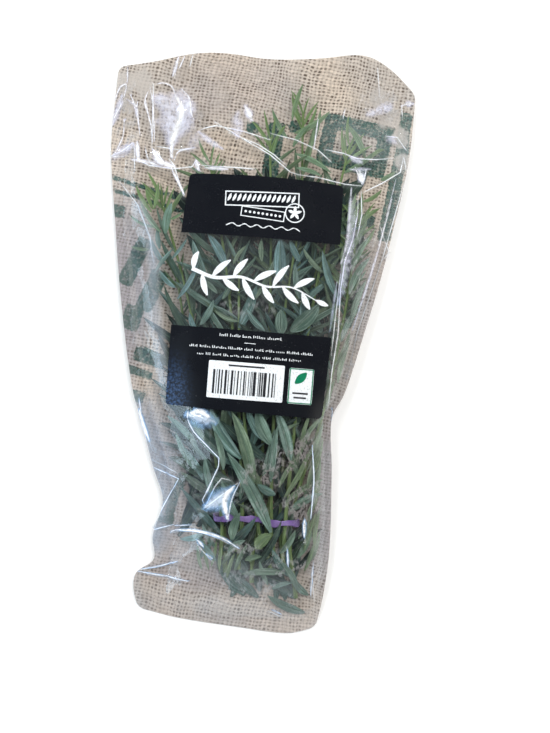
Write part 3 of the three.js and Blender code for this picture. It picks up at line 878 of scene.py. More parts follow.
# Painted glints: fine bright lines painted into the film: points.
paintedGlints = [
    [(-24.5, -37), (-24.3, -41), (-21, -46.5), (-15, -52), (-8.5, -57.5)],
    [(-8, -58.5), (-8, -62), (-11, -70), (-14.5, -79)],
    [(-9.5, -66), (-12.5, -75)],
    [(-39.5, -66), (-33, -68.5), (-27, -70)],
    [(-27, -70.5), (-31, -78.5), (-38.5, -95.5)],
    [(-38.5, -96.5), (-28, -93)],
    [(36, -50), (38, -65.5), (38, -84)],
    [(-57.5, 111), (-55.5, 103.5), (-54, 99.5), (-52.5, 91)],
    [(-56, 117.5), (-54, 110.5), (-53, 103), (-51.5, 92)],
    [(-57, 115.5), (-58, 111), (-56.5, 105.5)],
    [(-53.5, 119.5), (-50, 120.5), (-45.5, 119), (-43.5, 115)],
    [(-40, 117.5), (-36.5, 114), (-35, 107), (-33.5, 103.5)],
    [(-73, 109), (-71, 117), (-68, 119), (-68.5, 112.5)],
    [(-72.5, 102), (-69.5, 109)],
    [(-65, 113), (-62, 108), (-61.5, 110.5)],
    [(-61.5, 107.5), (-60, 99), (-59, 95)],
    [(-72, 83.5), (-70, 86.5), (-67.5, 93.5), (-67.5, 100.5)],
    [(-72, 83), (-67, 83.5)],
    [(-60, 90), (-58, 82)],
    [(-56, 88.5), (-53.5, 82), (-51, 80)],
    [(-41, 83), (-39.5, 87), (-33, 89)],
    [(-40.5, 134), (-42.5, 128.5)],
    [(-68, 127), (-67.5, 121)],
    [(46, 86.5), (50, 78.5)],
    [(51.5, 85.5), (50.5, 78.5)],
    [(39, 114), (38.5, 110)],
    [(69, 120), (66, 118.5)],
    [(65.5, 73.5), (63, 60), (60.5, 47)],
    [(26.5, 108), (25.5, 93)],
    [(-27.5, -93.5), (-20, -92)],
    [(2.5, -69), (-0.5, -77.5), (-1.5, -88)],
    [(-49.5, -33), (-48, -39.5)],
    [(44.5, -32), (45, -42)],
]
glintHalf, glintStrength = 0.5, 0.85
# Painted reflections: bluish veils painted on the film along a line: points, half width, strength.
veils = [
    ([(-57, 60), (-49.5, 44.5), (-47, 33), (-46.5, 19.5), (-42.5, 0.5), (-38, -23)], 5, 0.8),
    ([(-50, -40), (-38, -64), (-36, -100)], 15, 1.0),
    ([(36, 102), (64, 98)], 16, 0.25),
    ([(-30, -106), (0, -114), (30, -120)], 14, 0.3),
    ([(-44, -128), (0, -134), (40, -138)], 15, 0.3),
    ([(52, 60), (57, 30), (51, -10)], 9, 0.2),
    ([(45, -50), (44, -110)], 7, 0.3),
]


def alongAt(line, k):
    # the direction and its length at one of a line's points
    a, b = line[max(k - 1, 0)], line[min(k + 1, len(line) - 1)]
    dx, dy = b[0] - a[0], b[1] - a[1]
    return dx, dy, math.hypot(dx, dy)


def beside(line, gap):
    # the line moved sideways by the gap
    moved = []
    for k, (x, y) in enumerate(line):
        dx, dy, length = alongAt(line, k)
        moved.append((x - dy / length * gap, y + dx / length * gap))
    return moved


def withSides(line, *gaps):
    return [line] + [beside(line, side * gap) for gap in gaps for side in (1, -1)]


def divided(line, step):
    points = [line[0]]
    for a, b in zip(line, line[1:]):
        count = max(1, round(math.dist(a, b) / step))
        points += [(mix(a[0], b[0], k / count), mix(a[1], b[1], k / count)) for k in range(1, count + 1)]
    return points


def curved(line, step):
    # a smooth line through the points
    if len(line) < 3:
        return divided(line, step)
    length = [0.0]
    for a, b in zip(line, line[1:]):
        length.append(length[-1] + math.dist(a, b))
    xs = through(list(zip(length, [p[0] for p in line])))
    ys = through(list(zip(length, [p[1] for p in line])))
    count = max(2, round(length[-1] / step))
    return [(xs(length[-1] * k / count), ys(length[-1] * k / count)) for k in range(count + 1)]


def facetPlane(corners):
    # the plane through a facet's middle that mirrors a point up on the left to the camera
    cx = sum(p[0] for p in corners) / len(corners)
    cy = sum(p[1] for p in corners) / len(corners)
    middle = Vector((cx, cy, frontBottom(cx, cy)))
    toLens = (lens.location / mm - middle).normalized()
    toLamp = (Vector(frontWeb["facetsFace"]) - middle).normalized()
    normal = (toLens + toLamp).normalized()

    def drop(x, y):
        return ((x - cx) * normal.x + (y - cy) * normal.y) / normal.z

    lift = middle.z - min(frontBottom(x, y) + drop(x, y) for x, y in corners)

    def rise(x, y):
        bulge = ((x - cx) ** 2 + (y - cy) ** 2) / (2 * frontWeb["facetBend"])
        return middle.z + frontWeb["facetLift"] + lift * frontWeb["facetRaise"] - drop(x, y) - bulge

    return rise


def frontLines():
    # the lines that the front web's mesh has edges along, and the creases, facets and glares on it
    lines, crests, planes, shines = [], [], [], []
    for high, haze, points in creases:
        line = divided(points, frontWeb["creaseStep"])
        crests.append((high, haze, line, boxOf(line, frontWeb["hazeReach"])))
        lines += withSides(line, frontWeb["creaseHalf"], frontWeb["creaseFlat"])
    for haze, corners in facets:
        lines.append(divided(corners + corners[:1], frontWeb["creaseStep"]))
        planes.append((haze, facetPlane(corners), corners, boxOf(corners, 0.01)))
    for half, strength, points in glares + [(glintHalf, glintStrength, points) for points in paintedGlints]:
        line = curved(points, frontWeb["glareStep"])
        shines.append((half, strength, line, boxOf(line, half)))
        if half < frontWeb["broadGlare"]:
            lines += withSides(line, 0.5 * half, half)
    for side in (-1, 1):
        start, span, steps = frontWeb["weldLine"]
        rows = [start + span * k / steps for k in range(steps + 1)]
        lines.append([onSleeve(side * sleeve["weld"], w) for w in rows])
    lines.append([(x, sleeve["sealedBelow"] + frontWeb["footLift"]) for x in range(*frontWeb["footLine"])])
    return lines, crests, planes, shines


frontEdges, crests, planes, shines = frontLines()


def around(things, x, y):
    # those of the creases, facets or glares whose box holds the point
    return [thing for thing in things if inBox(thing[-1], x, y)]


def fromEnds(share, span):
    # grows from 0 at both ends of a line to 1
    return smooth(min(share, 1 - share), 0, span)


def frontHeight(x, y):
    free = smooth(roomOver(x, y), 0, frontWeb["freeAbove"])
    wave = ripplesAt(x, y, frontWeb["ripples"], frontWeb["rippleSeed"])
    z = frontBottom(x, y) + wave * mix(0.3, 1, free) + frontWeb["lift"]
    for high, _, line, _ in around(crests, x, y):
        gap, share = nearestOn(line, x, y)
        if gap < frontWeb["creaseHalf"]:
            uneven = 0.62 + 0.5 * ripple(x, y, 6, 31)
            z += high * (1 - gap / frontWeb["creaseHalf"]) * mix(0.25, 1, fromEnds(share, 0.25)) * uneven
            break
    for _, plane, corners, _ in around(planes, x, y):
        if insideOf(corners, x, y):
            return max(plane(x, y), frontBottom(x, y) - 0.3)
    return z


# haze along the creases, and a painted sheen on the facets
def hazeAt(x, y):
    worth, reach = 0, frontWeb["hazeReach"]
    for _, haze, line, _ in around(crests, x, y):
        worth = max(worth, haze * max(1 - nearestOn(line, x, y)[0] / reach, 0) ** 2)
    for haze, _, corners, _ in around(planes, x, y):
        if insideOf(corners, x, y):
            worth = max(worth, haze)
    return worth


# how strongly a crease's crest is painted white, as whitening and a painted glint
def edgeAt(x, y):
    for high, haze, line, _ in around(crests, x, y):
        gap, share = nearestOn(line, x, y)
        if gap < frontWeb["crest"]:
            return mix(0.3, 1, fromEnds(share, 0.2)) * min(1, high + haze + 0.25)
    return 0


# how strongly a painted glare covers a point
def glareAt(x, y):
    worth = 0
    for half, strength, line, _ in around(shines, x, y):
        gap, share = nearestOn(line, x, y)
        reach = half * mix(0.4, 1, fromEnds(share, 0.3))
        worth = max(worth, strength * (1 - smooth(gap / reach, 0.15, 1)))
    return worth


# how strongly a painted bluish reflection covers a point
def veilAt(x, y):
    return max(
        strength * (1 - smooth(nearestOn(line, x, y)[0], 0.1 * half, half)) for line, half, strength in veils
    )


def weldAt(x, y):
    return smooth(abs(across(x, y)), sleeve["weld"] - 0.012, sleeve["weld"] + 0.004)


def makeFrontWeb():
    outline = sleeveOutline(frontWeb["edgeSpacing"])
    offEdge = clearOf(outline, frontWeb["edgeClear"])
    offLines = clearOf([p for line in frontEdges for p in line], frontWeb["lineClear"])
    inner = interiorSpots(
        frontWeb["spacing"], frontWeb["seed"], lambda x, y: offEdge(x, y) and offLines(x, y)
    )
    flat, faces = triangulated(outline, frontEdges, inner)
    heights = [frontHeight(x, y) for x, y in flat]
    piece = sheetPiece("frontWeb", flat, faces, heights, frontWeb["thickness"])
    valuesAt(
        piece, haze=hazeAt, edge=edgeAt, mist=lambda x, y: patchesAt(x, y, mists),
        glare=glareAt, veil=veilAt, weld=weldAt,
    )
    piece.data.materials.append(clearFilm())
    shadeSoft(piece, 38)
    finished(piece, "clear_film", "front_film")


def crumpled(n, place, size, slope):
    # flat patches that each lean their own way, as a height in millimetres
    cells = n.add("ShaderNodeTexVoronoi", feature="F1")
    n.put(cells.inputs["Vector"], place)
    cells.inputs["Scale"].default_value = 1 / (size * mm)
    lean = n.vector("MULTIPLY", n.vector("SUBTRACT", cells.outputs["Color"], (0.5, 0.5, 0.5)), (1, 1, 0))
    away = n.vector("SUBTRACT", place, cells.outputs["Position"])
    return n.times(n.vector("DOT_PRODUCT", lean, away, out="Value"), 2 * slope / mm)


def filmSkin(n, milk, colour):
    # clear film: gloss that grows towards grazing angles, and milk that hides what lies below it
    facing = n.add("ShaderNodeLayerWeight")
    facing.inputs["Blend"].default_value = 0.5
    gloss = n.scaled(n.math("POWER", facing.outputs["Facing"], 5), 0.6, 0.05)
    alpha = n.math("ADD", gloss, milk, clamped=True)
    n.set(
        Base_Color=colour,
        Metallic=n.math("DIVIDE", gloss, n.math("MAXIMUM", alpha, 0.01), clamped=True),
        Roughness=frontWeb["roughness"],
        Alpha=alpha,
    )
    return n.owner


def clearFilm():
    n = newMaterial("clearFilm")
    place = n.place()
    glared = n.attribute("glare")
    warped = n.swayed(place, place, 6, 4, 2, 0.6)
    lace = n.ramp(n.noise(n.stretched(warped, (1.5, 0.75, 1)), 2.8, 5, 0.75), 0.485, 0.56)
    patchy = n.ramp(n.noise(place, 11), 0.44, 0.56)
    mist = n.times(n.attribute("mist"), n.scaled(lace, 0.42, 0.02), n.scaled(patchy, 0.9, 0.1))
    # haze at the creases, and a painted sheen on the facets
    haze = n.times(n.attribute("haze"), n.ramp(n.noise(place, 3.5), 0.3, 0.65, (0.02, 0.18)))
    # crests painted white: the film's whitening and a painted glint
    fold = n.times(n.attribute("edge"), n.ramp(n.noise(place, 7, 3, 0.6), 0.36, 0.6, (0.45, 1.0)))
    weld = n.times(n.attribute("weld"), 0.04)
    # painted reflection: a bluish milky veil along the listed lines
    veil = n.times(n.attribute("veil"), n.ramp(n.noise(place, 9, 3, 0.6), 0.25, 0.75, (0.12, 0.26)))
    broken = n.ramp(n.noise(warped, 2.6, 3, 0.6), 0.32, 0.6, (0.35, 1.0))
    # painted glares and glints, broken up by noise
    shine = n.times(n.math("POWER", glared, 1.3), broken)
    milk = n.plus(mist, haze, n.plus(fold, n.plus(weld, veil)), shine)
    misted = n.math("MULTIPLY", n.attribute("mist"), 1.3, clamped=True)
    colour = n.blend(misted, frontWeb["tint"], frontWeb["mistTint"])
    colour = n.blend(n.attribute("veil"), colour, frontWeb["veilTint"])
    # painted glares: a white core in a bluish rim, bluer lower down
    _, along, _ = n.parts(place)
    rim = n.blend(n.ramp(along, -25 * mm, 45 * mm), frontWeb["glareBlue"], frontWeb["glareRim"])
    colour = n.blend(n.ramp(glared, 0.0, 0.15), colour, rim)
    colour = n.blend(n.ramp(glared, 0.35, 0.8), colour, frontWeb["glareCore"])
    bent = n.swayed(place, place, 14, 8)
    soft = n.times(n.noise(place, 6.5, 2, 0.45), 0.2)
    n.bump(n.plus(crumpled(n, bent, 17, 0.11), soft), 1.0, 1.0)
    return filmSkin(n, milk, colour)


def labelFilm():
    n = newMaterial("labelFilm")
    milk = n.ramp(n.noise(n.place(), 20, 3), 0.3, 0.7, (0.0, 0.015))
    return filmSkin(n, milk, frontWeb["tint"])


makeFrontWeb()
print("front web made")


# The label.
label = {
    "x": 2.4, "y": 21, "width": 75, "length": 111,
    "lift": 1.1,  # over the front web's underside
    "thickness": 0.12, "corner": 2.0,
    "cornerSteps": 4, "panes": (30, 44),
    "upper": (48, 77), "lower": (-35, 3.5),  # the black panels, from y to y
    "black": (0.0065, 0.0075, 0.0105),
    # the colour of a painted bluish reflection
    "paintedGleam": (0.06, 0.12, 0.26),
    "spread": through([(-1, 1.0), (-0.2, 1.025), (0.4, 1.02), (1, 0.985)]),  # its width from foot to head
    "lean": through([(-1, -0.6), (0, 0.5), (1, 1.7)]),
    "crown": 1.2,  # how far its head bows out
    "droop": 1.5,  # how far its right foot corner hangs down
    # a painted bluish reflection on the lower panel, strongest towards its lower left
    "shineAt": (-33, -33), "shineReach": (1, 14),  # a bluish gleam on its lower panel
    "speck": (0.16, 0.17, 0.18),
}
prints = {
    "white": (0.83, 0.87, 0.9), "dark": (0.02, 0.02, 0.025), "green": (0.0, 0.19, 0.09),
    "lift": 0.02, "thickness": 0.05, "edgeStep": 1.5, "innerStep": 2.4, "seed": 404,
}


def labelTop(x, y):
    return frontBottom(x, y) + label["lift"] + label["thickness"]


def flatLabel():
    # a sheet with rounded corners, cut along the panels' borders
    width, length = label["width"], label["length"]
    columns, rows = label["panes"]
    bpy.ops.mesh.primitive_grid_add(x_subdivisions=columns, y_subdivisions=rows, size=1)
    piece = bpy.context.object
    piece.name = piece.data.name = "labelSheet"
    for p in piece.data.vertices:
        p.co = Vector((p.co.x * width, p.co.y * length, 0)) * mm
    bpy.ops.object.mode_set(mode="EDIT")
    bpy.ops.mesh.select_mode(type="VERT")
    bpy.ops.mesh.select_all(action="DESELECT")
    bpy.ops.object.mode_set(mode="OBJECT")
    for p in piece.data.vertices:
        p.select = abs(p.co.x) > (width / 2 - 0.1) * mm and abs(p.co.y) > (length / 2 - 0.1) * mm
    bpy.ops.object.mode_set(mode="EDIT")
    bpy.ops.mesh.bevel(offset=label["corner"] * mm, segments=label["cornerSteps"], affect="VERTICES")
    for y in (label["upper"][0], label["lower"][1]):
        bpy.ops.mesh.select_all(action="SELECT")
        bpy.ops.mesh.bisect(plane_co=(0, (y - label["y"]) * mm, 0), plane_no=(0, 1, 0))
    bpy.ops.object.mode_set(mode="OBJECT")
    return piece


def makeLabel():
    width, length = label["width"], label["length"]
    piece = flatLabel()
    for p in piece.data.vertices:
        a, b = 2 * p.co.x / mm / width, 2 * p.co.y / mm / length
        x = label["x"] + a * width / 2 * label["spread"](b) + label["lean"](b)
        y = label["y"] + b * length / 2 + label["crown"] * max(b, 0) ** 3 * (1 - a * a)
        y -= label["droop"] * max(-b, 0) ** 2 * (a + 1) / 2
        p.co = Vector((x, y, frontBottom(x, y) + label["lift"])) * mm
    thickened(piece, label["thickness"])
    piece.data.materials.append(labelBlack())
    piece.data.materials.append(labelFilm())
    for face in piece.data.polygons:
        y = face.center.y / mm
        face.material_index = 1 if label["lower"][1] < y < label["upper"][0] else 0
    shadeSoft(piece, 50)
    finished(piece, "label", "label")


def labelBlack():
    n = newMaterial("labelBlack")
    place = n.place()
    speck = n.ramp(n.noise(place, 0.55, 1), 0.7, 0.76)
    dust = n.ramp(n.noise(place, 9), 0.45, 0.7)
    colour = n.blend(n.times(speck, dust, 0.6), label["black"], label["speck"])
    # painted reflection: a bluish gleam towards the lower left corner of the black
    x, y = label["shineAt"]
    near, far = label["shineReach"]
    corner = n.vector("SUBTRACT", place, (x * mm, y * mm, 0))
    reach = n.vector("LENGTH", n.vector("MULTIPLY", corner, (1, 0.42, 0)), out="Value")
    paintedGleam = n.math("POWER", n.ramp(reach, near * mm, far * mm, (1, 0)), 1.8)
    paintedGleam = n.times(paintedGleam, n.ramp(n.noise(place, 1.3, 3, 0.75), 0.4, 0.7, (0.05, 1.0)))
    n.set(
        Base_Color=n.blend(paintedGleam, colour, label["paintedGleam"]),
        Roughness=n.ramp(n.noise(place, 16, 3), 0.3, 0.7, (0.22, 0.34)),
    )
    n.shader.inputs["Specular IOR Level"].default_value = 0.3
    n.bump(n.noise(place, 14), 0.2, 0.5)
    return n.owner


def inkMaterial(name, colour):
    n = newMaterial(name)
    flecks = n.ramp(n.noise(n.place(), 0.8, 2, 0.6), 0.36, 0.44, (0.72, 1.0))
    n.set(Base_Color=n.shaded(colour, flecks), Roughness=0.45)
    return n.owner


def printShapes(name, outlines, material, layer=0):
    # thin ink on the label: each outline is a closed ring of points
    points, faces = [], []
    for outline in outlines:
        ring = divided(outline + outline[:1], prints["edgeStep"])[:-1]
        left, right, low, high = boxOf(ring, 0)
        step = prints["innerStep"]
        spots = [
            (x, y)
            for x in np.arange(left + 1.4, right - 1, step) for y in np.arange(low + 1.4, high - 1, step)
            if insideOf(ring, x, y) and nearestOn(ring + ring[:1], x, y)[0] > 0.8
        ]
        flat, made = triangulated(ring, [], spots)
        faces += [tuple(i + len(points) for i in face) for face in made]
        points += flat
    lift = prints["lift"] + layer * prints["thickness"] * 1.6
    heights = [labelTop(x, y) + lift for x, y in points]
    piece = sheetPiece(name, points, faces, heights, prints["thickness"])
    piece.data.materials.append(material)
    shadeSoft(piece, 50)
    finished(piece, "label")


def box(cx, cy, width, height, turn=0):
    signs = ((-1, -1), (1, -1), (1, 1), (-1, 1))
    return [turned(cx, cy, a * width / 2, b * height / 2, turn) for a, b in signs]


def roundedBox(cx, cy, width, height, radius):
    ring = []
    for k, (sx, sy) in enumerate(((1, -1), (1, 1), (-1, 1), (-1, -1))):
        x, y = cx + sx * (width / 2 - radius), cy + sy * (height / 2 - radius)
        ring += [onArc(x, y, radius, math.radians(-90 + 90 * k + 22.5 * step)) for step in range(5)]
    return ring


def stroke(line, widthAt, step=1.2):
    # a line drawn with a pen whose width changes on the way
    points = curved(line, step)
    count = len(points) - 1
    left, right = [], []
    for k, (x, y) in enumerate(points):
        dx, dy, length = alongAt(points, k)
        half = widthAt(k / count) / 2 / length
        left.append((x - dy * half, y + dx * half))
        right.append((x + dy * half, y - dx * half))
    return right + left[::-1]


def leafStroke(x, y, length, width, angle, bend=10):
    # a pointed leaf drawn as one stroke from its foot
    line = [(x, y)]
    for k in range(5):
        line.append(onArc(*line[-1], length / 5, math.radians(angle + bend * k / 5)))
    return stroke(line, lambda t: 0.25 + width * math.sin(math.pi * clamp(t, 0.02, 0.98)) ** 0.8)


def circle(cx, cy, radius, count):
    return [onArc(cx, cy, radius, 2 * math.pi * k / count) for k in range(count)]


def frameLines(cx, cy, width, height, line, turn=0):
    shapes = []
    for side in (1, -1):
        middle = turned(cx, cy, 0, side * (height / 2 - line / 2), turn)
        shapes.append(box(*middle, width, line, turn))
    for side in (1, -1):
        middle = turned(cx, cy, side * (width / 2 - line / 2), 0, turn)
        shapes.append(box(*middle, line, height - 2 * line - 0.02, turn))
    return shapes


# The drawn sprig that fills the window's middle: leaves as (place along the stem, length, angle).
drawnSprig = {
    "stem": [(-28, 31), (-17, 27.5), (-4, 28.5), (8, 25), (20, 25.5), (33, 20)],
    "leaves": [
        (0.02, 9, 118), (0.09, 11, -62), (0.17, 12, 66), (0.25, 10, -50), (0.33, 11, 58), (0.40, 12, -58),
        (0.49, 12, 60), (0.56, 10, -46), (0.64, 13, 62), (0.71, 11, -56), (0.80, 11, 54), (0.87, 9, -44),
    ],
    "width": 2.7,
    "stemWidth": 1.9,
}
barBox = {"x": 1.8, "y": -20.6, "width": 36, "height": 17.6, "unit": 0.33}  # unit: the thinnest bar
badge = {"x": 28.0, "y": -21, "width": 11.8, "height": 17}


def sprigShapes(line, leaves, leafWidth, stemWidth):
    shapes = [stroke(line, lambda t: mix(stemWidth, 0.4, t))]
    path = curved(line, 0.5)
    for t, length, angle in leaves:
        k = round(t * (len(path) - 2))
        (x0, y0), (x1, y1) = path[k], path[k + 1]
        ahead = math.degrees(math.atan2(y1 - y0, x1 - x0))
        shapes.append(leafStroke(x0, y0, length, leafWidth, ahead + angle, -angle * 0.4))
    return shapes


def ringShapes(cx, cy, radius, line):
    shapes = []
    for half in (0, 1):
        angles = [math.pi * (half + k / 12) for k in range(13)]
        outer = [onArc(cx, cy, radius + line / 2, t) for t in angles]
        inner = [onArc(cx, cy, radius - line / 2, t) for t in angles]
        shapes.append(outer + inner[::-1])
    return shapes


def printWindow(white):
    line = drawnSprig["stem"]
    shapes = sprigShapes(line, drawnSprig["leaves"], drawnSprig["width"], drawnSprig["stemWidth"])
    shapes.append(leafStroke(line[-1][0] - 1, line[-1][1] + 0.5, 6.5, 2.2, -22, 8))
    printShapes("drawnSprig", shapes, white)


def printUpperPanel(white):
    # two leaning frames filled with plain ornament, a ring with a blossom, and a flourish
    shapes = frameLines(2.8, 66.6, 35.5, 7.2, 0.55, 2.5) + frameLines(3.6, 59.6, 21, 5, 0.45, -4)
    shapes += [leafStroke(-13.6 + 2.35 * k, 64.7 + 0.1 * k, 3.9, 1.2, 62, 16) for k in range(14)]
    shapes += [circle(-4.6 + 2.05 * k, 60.2 - 0.145 * k, 0.62, 8) for k in range(9)]
    shapes += ringShapes(18.8, 61.2, 4.5, 0.55)
    shapes += [leafStroke(18.8, 61.2, 3.3, 1.3, 90 + 72 * k, 0) for k in range(5)]
    wave = [(-13.5 + 2.95 * k, 53.4 + (0.75 if k % 2 else -0.55) - 0.02 * k) for k in range(13)]
    shapes.append(stroke(wave, lambda t: 0.3 + 0.25 * math.sin(14 * math.pi * t) ** 2, 0.6))
    printShapes("upperPrint", shapes, white)


def printTicks(random, white):
    # rows of small ticks stand for the lines of small print
    shapes = [box(2.5, -2.6, 5.5, 0.3)]
    for low, high, y, height in ((-12, 18, 0.6, 1.3), (-26, 30, -5.4, 1.15), (-22, 27, -8.9, 1.15)):
        x = low
        while x < high - 2:
            for _ in range(3 + int(6 * random())):
                tall = height * (0.55 + 0.45 * (random() > 0.6))
                shapes.append(box(x, y + (tall - height) / 2 * (random() > 0.25), 0.34, tall))
                if random() > 0.55:
                    up = 0.15 if random() > 0.5 else 0.6
                    shapes.append(box(x + 0.35, y - height / 2 + up, 0.4, 0.26))
                x += 0.86
            x += 0.75
    printShapes("smallPrint", shapes, white)


def printBars(random, white, dark):
    x, y, width, height = barBox["x"], barBox["y"], barBox["width"], barBox["height"]
    printShapes("barBox", [roundedBox(x, y, width, height, 0.6)], white)
    shapes = [box(x, y + height / 2 - 1.8, 17, 0.8)]
    at, end = x - width / 2 + 2.4, x + width / 2 - 3.2
    while at < end:
        bar = barBox["unit"] * (1 + int(3.2 * random() ** 1.6))
        shapes.append(box(at + bar / 2, y - 1.0, bar, 11.4))
        at += bar + barBox["unit"] * (1 + int(2.6 * random()))
    printShapes("bars", shapes, dark, 1)


def printBadge(white, dark, green):
    x, y, width, height = badge["x"], badge["y"], badge["width"], badge["height"]
    printShapes("badge", [roundedBox(x, y, width, height, 0.8)], white)
    shapes = frameLines(x, y, width - 0.3, height - 0.3, 0.5)
    shapes.append(leafStroke(x - 2.8, y + 1.2, 7.5, 3.6, 44, 6))
    printShapes("badgeGreen", shapes, green, 1)
    printShapes("badgeDark", [box(x, y - 3.4, 7.4, 0.8), box(x, y - 5.5, 6, 0.8)], dark, 1)


def makePrints():
    white, dark, green = (inkMaterial(name + "Ink", prints[name]) for name in ("white", "dark", "green"))
    random = randomFrom(prints["seed"])
    printWindow(white)
    printUpperPanel(white)
    printTicks(random, white)
    printBars(random, white, dark)
    printBadge(white, dark, green)


makeLabel()
makePrints()
print("label made")


# The rubber band: a flat ring with two straight stretches.
band = {
    "x": 12, "y": -87, "z": 7.4, "halfWidth": 20.6, "halfHeight": 5.2,
    "width": 3.5, "thickness": 0.7, "steps": 120,
    "colour": (0.155, 0.085, 0.30), "folded": (0.33, 0.23, 0.52),
    "section": [(-0.5, 0), (-0.42, 0.5), (0.42, 0.5), (0.5, 0), (0.42, -0.5), (-0.42, -0.5)],
}


def bandPath(share):
    # the point and the outward angle at a share of the way round
    high = band["halfHeight"]
    straight = band["halfWidth"] - high
    arc = math.pi * high
    s = share * (2 * arc + 4 * straight)
    if s < arc:
        angle = -math.pi / 2 + math.pi * s / arc
        return *onArc(straight, 0, high, angle), angle
    s -= arc
    if s < 2 * straight:
        return straight - s, high, math.pi / 2
    s -= 2 * straight
    if s < arc:
        angle = math.pi / 2 + math.pi * s / arc
        return *onArc(-straight, 0, high, angle), angle
    s -= arc
    return -straight + s, -high, -math.pi / 2


def bandRing(share):
    # the band's section at a share of the way round, and how far it is folded over there
    def swing(turns, start=0.0):
        return math.sin(2 * math.pi * share * turns + start)

    px, pz, angle = bandPath(share)
    turn = 0.5 * swing(5, 1) + 0.35 * swing(11)
    slide = 0.6 * swing(3, 0.5) + 0.35 * swing(7)
    wide = band["width"] * (0.92 + 0.16 * swing(8, 2))
    ring = []
    for a, b in band["section"]:
        w, t = a * wide, b * band["thickness"]
        y = w * math.cos(turn) - t * math.sin(turn)
        out = w * math.sin(turn) * 0.5 + t * math.cos(turn)
        x, z = band["x"] + px + out * math.cos(angle), band["z"] + pz + out * math.sin(angle)
        ring.append((x, band["y"] + slide + y, z))
    return ring, 0.5 + 0.5 * math.sin(turn * 2.2)


def purpleRubber():
    n = newMaterial("purpleRubber")
    place = n.place()
    worn = n.times(n.noise(place, 1.6, 3, 0.6), 0.3)
    colour = n.blend(n.math("MULTIPLY_ADD", n.attribute("fold"), 0.7, worn), band["colour"], band["folded"])
    n.set(Base_Color=colour, Roughness=0.5)
    n.bump(n.noise(n.stretched(place, (1, 4, 1)), 3), 0.25, 0.6)
    return n.owner


def makeBand():
    sides, steps = len(band["section"]), band["steps"]
    points, faces, folds = [], [], []
    for k in range(steps):
        ring, fold = bandRing(k / steps)
        points += ring
        folds += [fold] * sides
        here, after = k * sides, (k + 1) % steps * sides
        for i in range(sides):
            j = (i + 1) % sides
            faces.append((here + i, here + j, after + j, after + i))
    piece = meshPiece("rubberBand", points, faces)
    activate(piece)
    bpy.ops.object.mode_set(mode="EDIT")
    bpy.ops.mesh.select_all(action="SELECT")
    bpy.ops.mesh.normals_make_consistent(inside=False)
    bpy.ops.object.mode_set(mode="OBJECT")
    pointValues(piece, fold=folds)
    piece.data.materials.append(purpleRubber())
    shadeSoft(piece, 40)
    finished(piece, "band", "rubber_band")
    return piece


bandPiece = makeBand()
print("band made")


# The sprigs: foot, place in the band, layer there, tip, bow to the side and lift of the tip between the webs.
sprigs = [
    ((-4, -106), -5, 1, (-47, 66), 5, 0.55),
    ((5, -112), 3, 0, (-36, 28), -4, 0.25),
    ((3, -103), 5, 2, (-24, 84), 4, 0.7),
    ((12, -118), 9.5, 0, (-10, 60), -6, 0.2),
    ((11, -108), 12, 1, (4, 98), 3, 0.5),
    ((15, -101), 12.5, 2, (-6, 36), -3, 0.85),
    ((21, -113), 17, 0, (19, 112), 5, 0.45),
    ((22, -105), 19, 2, (22, 62), -4, 0.82),
    ((27, -110), 23.5, 0, (32, 40), -4, 0.3),
    ((26.5, -101), 26, 2, (43, 98), -5, 0.6),
    ((34, -124), 28.5, 1, (50, 62), 4, 0.5),
    ((-1, -114), -4.5, 0, (-30, -16), -3, 0.4),
]
layerHeights = (4.3, 7.4, 10.4)
stem = {"footRadius": 1.15, "tipRadius": 0.55, "sides": 8, "rings": 34, "footLift": 0.5}
leaf = {
    "spacing": 7.2, "along": (0.05, 0.94), "length": 36,
    "grown": [(0, 0.86), (0.3, 1), (0.55, 1), (1, 0.62)],
    "spread": (0.72, 1.22), "opening": (16, 58), "bend": (-34, 30),
    "halfWidth": 0.063, "widthSpread": (0.8, 1.15), "roll": (-42, 42), "rollRoom": 14,
    "drift": (-0.75, 0.75), "shares": (0.07, 0.93), "stations": (0, 0.3, 0.68, 1),
    "tries": 18, "shrink": 0.955,
    "outline": [(0, 0.22), (0.1, 0.56), (0.26, 0.93), (0.42, 1.0), (0.66, 0.88), (0.85, 0.52), (1, 0.03)],
    "thickness": 0.36, "fold": 0.22, "broad": 0.82, "broadLow": 1.2,
    "rows": 8, "columns": 4,
}
rosette = {"count": 6, "length": 15, "along": (0.955, 0.995), "opening": (4, 38)}
seeds = {"perSprig": 100, "perLeaf": 64, "top": 77, "loose": 555, "extra": 5000, "shade": 900}
filled = {"low": -134, "high": 128, "width": 0.925, "clear": 0.3}
grownLength = through(leaf["grown"])
leafOutline = through(leaf["outline"])


def stemPoints(sprig):
    (footX, footY), inBand, layer, (tipX, tipY), bow, lift = sprig
    bandZ = layerHeights[layer]
    bandLift = shareAt(inBand, band["y"], bandZ)
    points = [
        Vector((footX, footY, heightAt(footX, footY, stem["footLift"]))),
        Vector((inBand, band["y"], bandZ)),
    ]
    for t in (1 / 3, 2 / 3, 1):
        x = mix(inBand, tipX, t) + bow * math.sin(math.pi * t)
        y = mix(band["y"], tipY, t)
        points.append(Vector((x, y, heightAt(x, y, mix(bandLift, lift, t)))))
    return points


def pointOn(points, t):
    # a Catmull-Rom curve through the points
    last = len(points) - 1
    i = min(int(last * t), last - 1)
    w = last * t - i
    p1, p2 = points[i], points[i + 1]
    p0 = points[i - 1] if i else 2 * points[0] - points[1]
    p3 = points[i + 2] if i + 2 <= last else 2 * points[last] - points[last - 1]
    t0, t1 = (p2 - p0) / 2, (p3 - p1) / 2
    return p1 + t0 * w + (3 * p2 - 3 * p1 - 2 * t0 - t1) * w * w + (2 * p1 - 2 * p2 + t0 + t1) * w * w * w


def headingOn(points, t):
    step = 0.0001
    return (pointOn(points, min(t + step, 1)) - pointOn(points, max(t - step, 0))).normalized()


